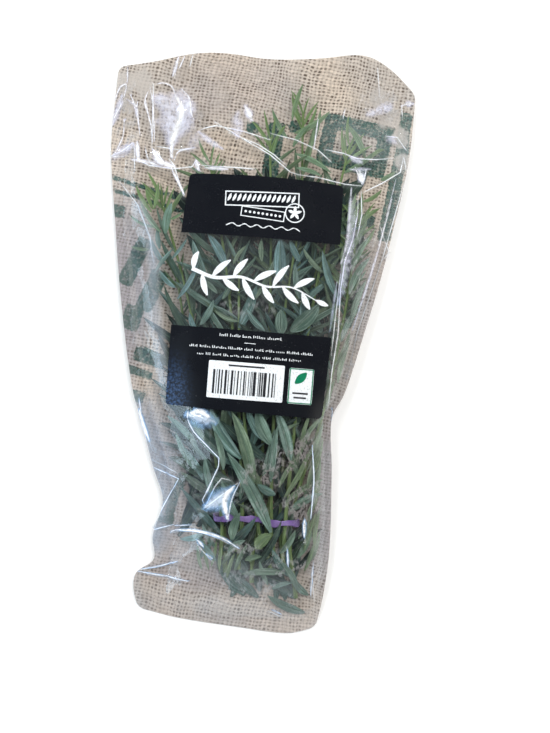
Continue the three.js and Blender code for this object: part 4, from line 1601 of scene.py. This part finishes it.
def leafPlan(points, t, side, isRosette, draws, attempt):
    # one leaf as a dictionary: its foot, headings, size, shares of height and roll
    def draw(span):
        return mix(span[0], span[1], draws())

    root, ahead = pointOn(points, t), headingOn(points, t)
    side = -side if attempt % 3 == 2 else side
    opening = draw(rosette["opening"] if isRosette else leaf["opening"])
    bend = math.radians(draw(leaf["bend"])) * side
    full = rosette["length"] if isRosette else leaf["length"] * grownLength(t)
    length = full * draw(leaf["spread"]) * leaf["shrink"] ** attempt
    rootShare = shareAt(root.x, root.y, root.z)
    tipShare = clamp(rootShare + draw(leaf["drift"]), *leaf["shares"])
    space = sleeve["seamGap"] + roomOver(root.x, root.y)
    roll = math.radians(draw(leaf["roll"])) * min(1, space / leaf["rollRoom"])
    half = length * leaf["halfWidth"] * draw(leaf["widthSpread"])
    start = math.atan2(ahead.y, ahead.x) + math.radians(opening) * side
    return {
        "x": root.x, "y": root.y, "start": start, "bend": bend, "length": length,
        "rootShare": rootShare, "tipShare": tipShare, "roll": roll, "half": half, "t": t,
    }


def leafWalk(plan, stations):
    # the middle line of a leaf: the share of its length and the place, at each of the stations
    x, y, before = plan["x"], plan["y"], 0
    for s in stations:
        heading = plan["start"] + plan["bend"] * (s + before) / 2
        x += math.cos(heading) * plan["length"] * (s - before)
        y += math.sin(heading) * plan["length"] * (s - before)
        before = s
        yield s, x, y


def solidTip(plan):
    # where the tip of the leaf's solid lies
    *_, (_, x, y) = leafWalk(plan, leaf["stations"])
    return x, y, heightAt(x, y, plan["tipShare"])


def leafPattern():
    # one leaf blade, modelled flat: x across from -1 to 1, y along from 0 to 1, z 0 below and 1 above
    bpy.ops.object.select_all(action="DESELECT")
    bpy.ops.mesh.primitive_grid_add(x_subdivisions=leaf["columns"], y_subdivisions=leaf["rows"], size=2)
    blade = bpy.context.object
    for p in blade.data.vertices:
        p.co.y = (p.co.y + 1) / 2
    thickened(blade, 1 / mm)
    points = [tuple(p.co) for p in blade.data.vertices]
    faces = [tuple(face.vertices) for face in blade.data.polygons]
    bpy.data.objects.remove(blade)
    return points, faces


patternPoints, patternFaces = leafPattern()
patternRows = sorted({round(p[1], 5) for p in patternPoints})


def leafPoints(plan):
    # the pattern laid along the leaf's own line
    rows = {}
    for s, x, y in leafWalk(plan, patternRows):
        share = mix(plan["rootShare"], plan["tipShare"], smooth(s, 0, 1))
        rows[s] = (x, y, plan["start"] + plan["bend"] * s, share)
    broad = mix(leaf["broadLow"], leaf["broad"], smooth(plan["t"], 0.3, 0.6))
    cosRoll, sinRoll = math.cos(plan["roll"]), math.sin(plan["roll"])
    made = []
    for a, along, h in patternPoints:
        cx, cy, heading, share = rows[round(along, 5)]
        reach = -a * (plan["half"] * broad * leafOutline(along))
        depth = (h - 0.5) * leaf["thickness"] * (1 - 0.55 * abs(a)) * (1.25 - 0.8 * along)
        rise = plan.get("fold", leaf["fold"]) * abs(reach) * (1 - 0.5 * along) + depth
        aside = cosRoll * reach - sinRoll * rise
        ex, ey = cx - math.sin(heading) * aside, cy + math.cos(heading) * aside
        made.append((ex, ey, heightAt(ex, ey, share) + sinRoll * reach + cosRoll * rise))
    return made


def leafFits(points):
    for x, y, z in points:
        if abs(across(x, y)) > filled["width"] or not filled["low"] < y < filled["high"]:
            return False
        if not backTop(x, y) + filled["clear"] * 0.3 < z < frontBottom(x, y) - filled["clear"]:
            return False
    return True


def stemTube(points):
    made, faces = [], []
    sides, rings = stem["sides"], stem["rings"]
    for r in range(rings):
        t = r / (rings - 1)
        centre, ahead = pointOn(points, t), headingOn(points, t)
        side = Vector((-ahead.y, ahead.x, 0)).normalized()
        up = ahead.cross(side).normalized()
        radius = mix(stem["footRadius"], stem["tipRadius"], t) * (1.0 + 0.1 * math.sin(r * 2.4))
        for i in range(sides):
            angle = 2 * math.pi * i / sides
            p = centre + side * (radius * math.cos(angle)) + up * (radius * math.sin(angle))
            made.append(tuple(p))
    for r in range(rings - 1):
        for i in range(sides):
            a, b = r * sides + i, r * sides + (i + 1) % sides
            faces.append((a, b, b + sides, a + sides))
    faces.append(tuple(range(sides))[::-1])
    faces.append(tuple(range((rings - 1) * sides, rings * sides)))
    return made, faces


bladePart = [face for face in patternFaces if min(patternPoints[k][1] for k in face) > 0.12]


class Room:
    # knows what is already inside the sleeve, as boxes and search trees
    def __init__(self):
        self.things = []

    def boxAround(self, points):
        corners = np.asarray(points)
        return corners.min(0), corners.max(0)

    def add(self, points, faces):
        self.things.append((*self.boxAround(points), BVHTree.FromPolygons(points, faces)))

    def isFree(self, points, faces):
        low, high = self.boxAround(points)
        tree = None
        for lowest, highest, other in self.things:
            if (low > highest).any() or (high < lowest).any():
                continue
            tree = tree or BVHTree.FromPolygons(points, faces)
            if other.overlap(tree):
                return False
        return True

    def takes(self, plan, part, leaves, young=0):
        # lays a leaf and adds it to a sprig's leaves, if that part of it touches nothing
        made = leafPoints(plan)
        if not (leafFits(made) and self.isFree(made, part)):
            return False
        leaves.append((plan, made, young))
        self.add(made, patternFaces)
        return True


def slotsOf(points):
    # where the solids' leaves start on a stem: share of its length, side, and whether it is in the rosette
    length, before = 0, pointOn(points, 0)
    for k in range(1, 201):
        here = pointOn(points, k / 200)
        length += (here - before).length
        before = here
    slots = []
    rows = ((int(length / leaf["spacing"]), leaf["along"], False), (rosette["count"], rosette["along"], True))
    for count, span, young in rows:
        slots += [(mix(*span, k / (count - 1)), 1 if k % 2 else -1, young) for k in range(count)]
    return slots


def solidLeaves(s, points):
    # the leaves that sprig s has in its solid: a try was kept if the solid has a corner at its tip
    node = frame["nodes"][f"sprig_{s + 1:02d}"]
    tree = searchTree([p.co / mm for p in node.data.vertices])
    kept = []
    for index, (t, side, young) in enumerate(slotsOf(points)):
        for attempt in range(leaf["tries"]):
            draws = randomFrom((s * seeds["perSprig"] + index) * seeds["perLeaf"] + attempt)
            plan = leafPlan(points, t, side, young, draws, attempt)
            if tree.find(solidTip(plan))[2] < 0.02:
                kept.append((plan, leafPoints(plan), 0.8 if young else 0))
                break
    return kept


# More leaves between those of the solids: how far apart, from where to where on the stem, how long, how wide,
# how young, and how many tries each has.
moreLeaves = [
    (4.0, (0.02, 0.7), (0.75, 1.15), 1.15, 0.0, 8),
    (3.0, (0.3, 0.97), (0.35, 0.62), 1.0, 0.35, 7),
    (2.8, (0.05, 0.98), (0.2, 0.36), 1.15, 0.55, 5),
]
# Leaves that lie on top of the bunch, placed one by one: foot, tip, width, bow to the left, and how olive
# they are, from blue-grey (0) to olive (1).
topLeaves = [
    # below the label
    ((19.5, -92), (-4.5, -55), 6.4, -1.5, 0.5), ((2.5, -57.5), (-14, -34), 5.8, 2, 0.3),
    ((9, -71), (-4, -35), 5.8, -2, 0.8), ((17.5, -67.5), (18.5, -40.5), 3.6, 0.6, 0.4),
    ((13.5, -65), (17, -42), 3.8, -1, 0.5), ((16.5, -50), (8, -33), 6, 1, 0.5),
    ((26, -57), (17, -33), 5.4, -1, 0.4), ((20, -73.5), (11, -69), 4, 0.5, 0.3),
    ((25, -77.5), (43, -65), 3, 1.5, 0.9), ((24.5, -74.5), (35, -51), 2.6, -1, 1),
    ((21.5, -70), (28.5, -55.5), 2.2, 0.5, 0.9), ((28, -81.5), (43, -72), 4, 1.5, 0.5),
    ((32, -57), (40.5, -37), 2.2, -1.5, 0.8), ((34.5, -61), (40, -43), 2, -1, 0.9),
    ((30.5, -51.5), (34.5, -32), 2, 1, 1), ((-19, -53.5), (-35, -40), 3.4, -1, 0.3),
    ((-19, -65), (-30, -47.5), 3, 1, 0.3), ((-15.5, -50), (-24, -34), 3, 0.8, 0.5),
    ((-15, -69.5), (-26, -55), 3, -1, 0.2), ((4, -87), (-6, -68.5), 4.2, 1.5, 0.5),
    ((1, -97), (4, -83.5), 4.4, 1, 0.6), ((14, -76.5), (7, -60.5), 3, -1, 0.9),
    ((-8.5, -78.5), (-15, -57.5), 3.6, 1, 0.4), ((-5.5, -63.5), (-11.5, -45), 3, -1, 0.6),
    ((31.5, -66), (25, -47), 2.4, 1, 0.8), ((3.5, -77.5), (8, -62.5), 2.6, 1, 0.5),
    ((37.5, -83), (40.5, -62), 2.4, -1, 1), ((36.5, -92.5), (39, -75), 2.4, 1, 0.9),
    ((38, -73), (40.5, -54), 2.2, -0.6, 0.9), ((12, -48), (3, -32), 3.4, 1, 0.2),
    ((36, -100), (40.5, -81), 2.2, 0.5, 1), ((33, -95), (40, -70), 2.6, -0.8, 0.8),
    ((35, -70), (40.3, -50), 2.2, 0.8, 0.9), ((31, -48), (41, -34), 2.2, 1, 0.8),
    ((37, -110), (40.5, -96), 2, -0.4, 1), ((34, -80), (39.5, -60), 2.4, 1, 0.7),
    ((38, -62), (41, -45), 1.7, -0.4, 1.1), ((28, -62), (36, -40), 2.2, 1, 0.9),
    # round and below the band
    ((13, -100.5), (20, -93), 6, 1.2, 1.2), ((27.5, -111.5), (6.5, -113.5), 3.6, -1, 0.6),
    ((31, -113.5), (20.5, -100), 3.8, 1, 0.2), ((-13, -95.5), (-24.5, -99.5), 3, 1, 0.1),
    ((24.5, -102), (31, -90), 3, -1, 0.6), ((40, -122), (31, -113), 3.4, 1, 0.4),
    ((39, -131), (20, -123.5), 4.4, 1.2, 0.4), ((34.5, -119.5), (25, -105.5), 3.2, -1, 0.5),
    ((41, -98), (42.5, -78), 2.4, 1, 1), ((40, -105), (43, -90), 2, -0.5, 0.9),
    ((-6, -108), (-16.5, -99), 2.6, -0.8, 0.2), ((-9, -113), (-12.5, -98), 1.7, 0.5, 1.2),
    ((-12.5, -113), (-15.5, -101), 1.8, 0.5, 0.9), ((-8, -111), (-6.5, -98), 1.6, -0.4, 1.3),
    ((-4, -113), (-3.5, -100), 1.7, 0.4, 1.2), ((-10, -104), (-17, -93), 2, 0.6, 0.4),
    ((0, -116), (3, -103), 1.8, 0.5, 1.1), ((-14, -108), (-8, -99), 2.4, 0.5, 0.2),
    ((8, -106.5), (16, -104), 2.8, 0.6, 0.8), ((-0.5, -103.5), (7.5, -96.5), 3, 0.8, 0.5),
    ((-6, -102), (-14, -91), 2.6, 1, 0.4), ((-3, -110), (2, -98), 2, -0.5, 0.8),
    ((3.5, -112), (9, -98), 2.2, 0.6, 0.7), ((20, -118), (15, -106), 2.4, 0.6, 0.5),
    ((22, -120), (32, -116), 2.4, 0.8, 0.3), ((-9, -108), (-10, -95), 1.8, 0.4, 0.9),
    ((33, -104), (39, -90), 3, -0.8, 0.7),
    # in the label's window
    ((-12, 33), (-22, 48), 4.1, -1, 0), ((-8.5, 34.5), (-3, 44), 1.8, 0.7, 1.2),
    ((14.5, 28), (13, 49), 6, 0.3, 0), ((37, 27), (30.5, 46.5), 4.2, 1, 0.7),
    ((43, 22), (33.5, 44.5), 3.6, 1.2, 0.5), ((35, 34), (24, 45), 2.3, 1, 1.1),
    ((-3.5, 4.5), (3.5, 25.5), 4.8, -0.6, 0.5), ((21, 5), (34, 19), 7.2, -1, 0.8),
    ((17, 3), (16, 15), 6, 0.2, 0.8), ((36.5, 5.5), (30.5, 16), 4.1, 0.6, 0.8),
    ((-23.5, 1), (-27.5, 10), 2.6, 0.6, 0.1), ((-4, 7.5), (-15.5, 12), 2.2, 1, 1.1),
    ((-21, 28.5), (-29, 45), 3.4, 1, 0.6), ((24.5, 20.5), (21, 37), 3.1, 0.8, 0.7),
    ((3, 18.5), (11, 39.5), 2.6, -1, 1.1), ((23, 38.5), (17.5, 48.5), 3.1, 0.4, 0.4),
    ((-12.5, 17.5), (-7.5, 29.5), 2.6, -0.6, 0.9), ((-22, 4.5), (-16.5, 17), 2.9, -0.8, 0.7),
    ((28, 6), (26, 20.5), 3.6, 0.6, 0.5), ((5, 37), (4, 48), 2.4, 0.4, 1.1),
    ((-15, 20), (-25, 27), 2.4, -0.7, 0.9), ((9, 4), (-1, 14), 3.1, 0.8, 0.6),
    ((-10, 2), (-19, 14), 2.6, 0.8, 0.8), ((28, 20), (38, 30), 2.9, 1, 0.6),
    # right of the label
    ((50, 58), (60, 68), 2.2, 1, 1.1), ((51, 70), (60, 77), 2, -1, 1), ((48, 25), (57, 44), 3.4, 1.5, 0.9),
    ((48, 36), (56, 54), 3, 1, 1), ((50, 12), (56, 33), 3, 1, 0.9), ((46, 2), (53, 19), 2.8, 1, 0.8),
    ((46, -18), (50, 1), 2.6, 1, 0.9), ((45, 44), (54, 62), 2.6, -1, 1.2),
    ((46, 52), (50, 70), 2.2, 1, 1.3), ((41.5, -31), (44.5, -16), 2, 0.6, 0.9),
    ((50, 46), (58, 58), 2.2, -1, 1), ((44, -10), (50, 8), 2.4, -1, 0.9),
    ((45.5, 32), (43, 47), 2.4, 0.5, 1.3), ((44, 60), (47.5, 74), 2, -0.5, 1.3),
    ((40, 7), (43, 22), 2.4, 0.5, 1.1),
    # above the label and at its left
    ((14, 107), (18, 125.5), 2.2, 0.6, 0.8), ((15.5, 100.5), (32, 113), 2.8, -1.5, 0.7),
    ((15.5, 93.5), (22.5, 105.5), 2.4, 0.8, 0.4), ((12.5, 98), (4, 112), 2.2, 1, 0.5),
    ((-46, 28), (-38, 40), 2, 0.5, 0.6), ((17, 90.5), (35, 82.5), 2.6, 1, 0.4),
    ((18, 83.5), (30.5, 80.5), 2.2, 0.6, 0.4), ((50.5, 92.5), (40.5, 107.5), 3, -1, 0.6),
    ((54, 92), (60, 96.5), 1.8, 1, 1), ((51, 91.5), (48.5, 99), 1.8, 0.4, 0.9),
    ((59, 81.5), (66, 86.5), 2.4, -0.5, 0.6), ((-42.5, 47), (-40.5, 62.5), 4, 0.8, 0.2),
    ((-50, 57), (-59, 70), 2, 0.8, 1.2), ((-49.5, 58.5), (-54, 69.5), 1.8, 0.5, 1.3),
    ((-49, 58.5), (-48, 72), 2, -0.5, 1.2), ((-44.5, 47.5), (-56, 62), 2.4, 1, 0.5),
    ((-47, 50), (-61, 55.5), 1.5, 1.5, 0.5), ((-41, 54), (-35, 58), 1.4, -0.5, 0.8),
    ((-44.5, 39.5), (-46.5, 50), 2.4, 0.5, 0.4), ((-38.5, 35), (-31.5, 46), 1.6, -0.5, 0.5),
    ((-49.5, 39), (-59, 40), 1.6, 0.6, 1.2), ((-34, 16), (-25, 35), 2.4, -1, 0.3),
    ((-35.5, 21.5), (-44, 29.5), 2.2, 1, 0.4), ((-41.5, 32.5), (-49, 44), 2.4, 1, 0.2),
]
# How they are laid: the shares of the height that are tried, how slope, roll (degrees) and painted brightness
# vary, and the painted light added to the brightness, and what is added to the olive, of those in the label's
# window.
topLay = {
    "shares": (0.93, 0.88, 0.82, 0.75, 0.67, 0.58, 0.48, 0.38, 0.28), "tipLowest": 0.1,
    "slope": 0.12, "roll": 30, "rollLess": 0.8, "shade": (0.78, 0.32), "height": 12,
    "window": (0, 46), "windowShade": 0.15, "windowOlive": -0.35,
}
# Loose leaves at the bottom of the bunch, in rows, so that little of the print shows through; they are
# painted nearly black as shade below the leaves above, save near the foot. A length or width is a least value
# and a range, and the aim is a middle and a range in degrees.
loose = {
    "rows": 38, "columns": 11, "corner": (-26, -128), "step": (6.6, 5.2), "jitter": (5, 4),
    "aim": (90, 120), "length": (17, 13), "width": (4, 1.8), "bow": 3,
    "shares": (0.04, 0.09, 0.15, 0.22, 0.3, 0.4),
    "footAcross": 0.72, "tipAcross": (-0.62, 0.8), "tipBelow": 88,
    "none": (-4, -100),  # no foot is both left of this x and below this y
}
# The box in which a leaf lies well inside the bunch, and the bunch's rim where it is sparse and where no more
# leaves grow: above a height, and left of a line from a lower height on.
inner = (-22, 40, -118, 60)
sparse = {"above": 84, "leftOf": -31, "leftAbove": 12}
grownOut = {"above": 76, "leftOf": -32, "leftAbove": 0}


def plannedLeaf(foot, tip, width, bow, share, tipShare, roll, **more):
    # a leaf from its foot to its tip, with the bow as the height of its arc
    chord = math.dist(foot, tip)
    turn = 8 * bow / chord
    aim = math.atan2(tip[1] - foot[1], tip[0] - foot[0])
    length = chord * (turn / 2) / math.sin(turn / 2) if turn else chord
    return {
        "x": foot[0], "y": foot[1], "start": aim + turn / 2, "bend": -turn, "length": length,
        "rootShare": share, "tipShare": tipShare, "roll": roll, "half": width / 2 / leaf["broadLow"],
        "t": 0.2, "fold": 0.1, **more,
    }


def layTopLeaves(paths, grown, room):
    random = randomFrom(seeds["top"])
    for foot, tip, width, bow, olive in topLeaves:
        middle = Vector(((foot[0] + tip[0]) / 2, (foot[1] + tip[1]) / 2, topLay["height"]))
        near = [min((pointOn(points, k / 40) - middle).length for k in range(41)) for points in paths]
        owner = near.index(min(near))
        slope = (random() - 0.3) * topLay["slope"]
        roll = math.radians(topLay["roll"] * (random() - 0.5))
        shade = topLay["shade"][0] + topLay["shade"][1] * random()
        if topLay["window"][0] < foot[1] < topLay["window"][1]:
            shade, olive = shade + topLay["windowShade"], olive + topLay["windowOlive"]
        for share in topLay["shares"]:
            ends = share - slope, max(share, topLay["tipLowest"])
            plan = plannedLeaf(foot, tip, width, bow, *ends, roll, shade=shade, olive=olive)
            if room.takes(plan, bladePart, grown[owner]):
                break
            roll *= topLay["rollLess"]


def layLooseLeaves(paths, grown, room):
    random = randomFrom(seeds["loose"])
    stems = [pointOn(points, 0.3).xy for points in paths]
    for row in range(loose["rows"]):
        for column in range(loose["columns"]):
            x = loose["corner"][0] + loose["step"][0] * column + loose["jitter"][0] * random()
            y = loose["corner"][1] + loose["step"][1] * row + loose["jitter"][1] * random()
            aim = math.radians(loose["aim"][0] + loose["aim"][1] * (random() - 0.5))
            length, width = (low + span * random() for low, span in (loose["length"], loose["width"]))
            tip = onArc(x, y, length, aim)
            bow = loose["bow"] * (random() - 0.5)
            left, right = loose["tipAcross"]
            if across(x, y) > loose["footAcross"] or not left <= across(*tip) <= right:
                continue
            if tip[1] > loose["tipBelow"] or (x < loose["none"][0] and y < loose["none"][1]):
                continue
            owner = min(range(len(paths)), key=lambda s: (stems[s] - Vector((x, y))).length)
            for share in loose["shares"]:
                # painted shade: loose leaves are nearly black, save near the foot
                shade = 0.16 * random() + 0.5 * (1 - smooth(y, -112, -92))
                plan = plannedLeaf((x, y), tip, width, bow, share, share, 0, shade=shade, olive=0.2)
                if room.takes(plan, patternFaces, grown[owner]):
                    break


def wellInside(points):
    # whether a leaf lies well inside the bunch, where a leaf on top can take its place
    return all(inBox(inner, x, y) for x, y, _ in points)


def atRim(x, y, rim):
    return y > rim["above"] or (x < rim["leftOf"] and y > rim["leftAbove"])


def thinned(leaves):
    # the leaves at the bunch's edge, without every second one where it is sparse
    kept = []
    for k, (plan, made, young) in enumerate(leaves):
        if young or not (wellInside(made) or (k % 2 and atRim(plan["x"], plan["y"], sparse))):
            kept.append((plan, made, young))
    return kept


def growMore(paths, grown, room):
    for turn, (every, span, scale, broad, young, tries) in enumerate(moreLeaves):
        for s, points in enumerate(paths):
            count = int((points[-1] - points[0]).length * (span[1] - span[0]) / every)
            for k in range(count):
                t = mix(*span, (k + 0.5) / count)
                where = pointOn(points, t)
                if atRim(where.x, where.y, grownOut):
                    continue
                for attempt in range(tries):
                    draws = randomFrom(seeds["extra"] + ((turn * 20 + s) * 200 + k) * 32 + attempt)
                    plan = leafPlan(points, t, 1 if k % 2 else -1, False, draws, attempt)
                    plan["length"] *= mix(*scale, draws())
                    plan["half"] *= mix(*scale, 0.7) * broad
                    if room.takes(plan, bladePart, grown[s], young):
                        break


def leafLooks(plan, fresh, random):
    # the painted brightness (light and shade), youth and olive tint of one leaf
    x, y = plan["x"], plan["y"]
    depth = clamp((plan["rootShare"] + plan["tipShare"]) / 2, 0, 1)
    high = y + (28 if abs(x - 6) > 36 else 0)
    # painted shade: leaves lower in the bunch are darker; painted light: those in the label's window are
    # brighter, and leaves high up are made lighter
    shade = plan.get("shade", clamp(0.4 * random() + 0.5 * depth - 0.16, 0, 1))
    shade += 0.28 * smooth(y, -5, 5) * (1 - smooth(y, 46, 56))
    shade = mix(shade, 1.0, smooth(high, 62, 88))
    hue = plan.get("olive", random() + 0.5 * smooth(high, 30, 80))
    youth = 0.6 * fresh * smooth(high, 25, 60) + 0.5 * smooth(high, 60, 90) + max(hue - 0.9, 0)
    return shade, clamp(youth, 0, 1), clamp(hue, 0, 1)


def sprigPiece(s, points, leaves):
    made, faces = stemTube(points)
    stemCount, stemFaces = len(made), len(faces)
    sides, rings = stem["sides"], stem["rings"]
    uv = [(i % sides / sides, i // sides / rings) for i in range(stemCount)]
    looks = [(0.5, 0.2 + 0.5 * (i / stemCount), 0.5) for i in range(stemCount)]
    random = randomFrom(seeds["shade"] + s)
    for plan, blade, fresh in leaves:
        faces += [tuple(k + len(made) for k in face) for face in patternFaces]
        made += blade
        uv += [(a / 2 + 0.5, along) for a, along, _ in patternPoints]
        looks += [leafLooks(plan, fresh, random)] * len(blade)
    piece = meshPiece(f"sprig{s + 1:02d}", made, faces)
    data = piece.data
    corners = np.empty(len(data.loops), np.int32)
    data.loops.foreach_get("vertex_index", corners)
    data.uv_layers.new(name="blade").data.foreach_set("uv", np.asarray(uv, np.float32)[corners].ravel())
    # tone: each leaf's painted brightness
    tone, young, olive = zip(*looks)
    pointValues(piece, tone=tone, young=young, olive=olive)
    for skin in herbSkins:
        data.materials.append(skin)
    isStem = np.zeros(len(data.polygons), np.int32)
    isStem[:stemFaces] = 1
    data.polygons.foreach_set("material_index", isStem)
    shadeSoft(piece, 50)
    finished(piece, "herb", f"sprig_{s + 1:02d}")


# The herb's colours: a pair runs from blue-grey to olive. The darkest is a painted shade for leaves low in
# the bunch.
herbColours = {
    "paintedDeepShade": (0.007, 0.016, 0.014),
    "middle": ((0.058, 0.128, 0.12), (0.082, 0.13, 0.072)),
    # a pale bluish bloom, which also serves as a painted highlight
    "bloomAndHighlight": ((0.21, 0.335, 0.35), (0.26, 0.33, 0.21)),
    "young": (0.17, 0.27, 0.095), "rib": (0.12, 0.185, 0.13),
    "stem": (0.085, 0.145, 0.05), "cut": (0.20, 0.27, 0.11),
}


def leafSkin():
    n = newMaterial("leafSkin")
    place, blade = n.place(), n.add("ShaderNodeUVMap", uv_map="blade").outputs[0]
    acrossBlade = n.parts(blade)[0]
    tone, olive = n.attribute("tone"), n.attribute("olive")
    ownVeins = n.vector("ADD", n.stretched(blade, (11, 1.6, 1)), n.joined(0, 0, n.times(tone, 37)))
    veins = n.noise(ownVeins, unscaled, 2, 0.55)
    patches = n.noise(place, 7, 3, 0.6)
    # painted light and shade: the tone attribute carries each leaf's painted brightness
    lit = n.plus(tone, n.scaled(patches, 0.4, -0.2))
    body = n.blend(n.ramp(lit, 0.05, 0.85), herbColours["paintedDeepShade"], n.blend(olive, *herbColours["middle"]))
    bloomAndHighlight = n.times(n.ramp(veins, 0.35, 0.7), n.ramp(patches, 0.3, 0.65, (0.3, 1.05)))
    # painted highlight: brighter leaves get more of the pale bloom
    bloomAndHighlight = n.times(bloomAndHighlight, n.ramp(lit, 0.1, 1.3, (0.05, 1.5)))
    body = n.blend(bloomAndHighlight, body, n.blend(olive, *herbColours["bloomAndHighlight"]))
    body = n.blend(n.times(n.attribute("young"), 0.85), body, herbColours["young"])
    # painted light and shade: one half of a folded blade is made lighter and the other darker, as if they
    # caught the light differently
    half = n.ramp(acrossBlade, 0.47, 0.53, (-1, 1))
    lean = n.math("SUBTRACT", n.math("FRACT", n.times(tone, 17.3)), 0.5)
    body = n.shaded(body, n.scaled(n.times(half, lean), 0.5, 1.0))
    fromMiddle = n.times(n.math("ABSOLUTE", n.math("SUBTRACT", acrossBlade, 0.5)), 2)
    rib = n.ramp(fromMiddle, 0.03, 0.16, (1, 0))
    n.set(
        Base_Color=n.blend(n.times(rib, 0.55), body, herbColours["rib"]),
        Roughness=n.ramp(veins, 0.2, 0.8, (0.38, 0.55)),
    )
    n.shader.inputs["Sheen Weight"].default_value = 0.18
    n.shader.inputs["Sheen Roughness"].default_value = 0.4
    n.shader.inputs["Specular IOR Level"].default_value = 0.45
    n.bump(n.plus(n.times(veins, 0.6), n.times(rib, -0.8)), 0.25, 0.8)
    return n.owner


def stemSkin():
    n = newMaterial("stemSkin")
    fibres = n.noise(n.stretched(n.place(), (1, 0.12, 1)), 0.8, 2, 0.6)
    colour = n.blend(n.ramp(fibres, 0.3, 0.7), herbColours["stem"], herbColours["cut"])
    colour = n.blend(n.times(n.attribute("young"), 0.5), colour, herbColours["young"])
    n.set(Base_Color=colour, Roughness=0.5)
    n.bump(fibres, 0.2, 0.6)
    return n.owner


herbSkins = [leafSkin(), stemSkin()]


def makeSprigs():
    paths = [stemPoints(sprig) for sprig in sprigs]
    solid = [solidLeaves(s, points) for s, points in enumerate(paths)]
    print("leaves of the solids:", sum(len(leaves) for leaves in solid))
    room = Room()
    for points in paths:
        room.add(*stemTube(points))
    bandMesh = bandPiece.data
    room.add([tuple(p.co / mm) for p in bandMesh.vertices], [tuple(f.vertices) for f in bandMesh.polygons])
    # the leaves at the bunch's edge stay, and those inside it give way to the leaves on top
    grown = [thinned(leaves) for leaves in solid]
    for _, made, _ in sum(grown, []):
        room.add(made, patternFaces)
    layTopLeaves(paths, grown, room)
    for leaves, before in zip(grown, solid):
        hidden = [one for one in before if not one[2] and wellInside(one[1])]
        free = [one for one in hidden if room.isFree(one[1], bladePart)]
        for _, made, _ in free:
            room.add(made, patternFaces)
        leaves += free
    print("with the leaves on top:", sum(len(leaves) for leaves in grown))
    layLooseLeaves(paths, grown, room)
    growMore(paths, grown, room)
    print("with loose and small leaves:", sum(len(leaves) for leaves in grown))
    for s, points in enumerate(paths):
        sprigPiece(s, points, grown[s])


makeSprigs()
print("sprigs made")
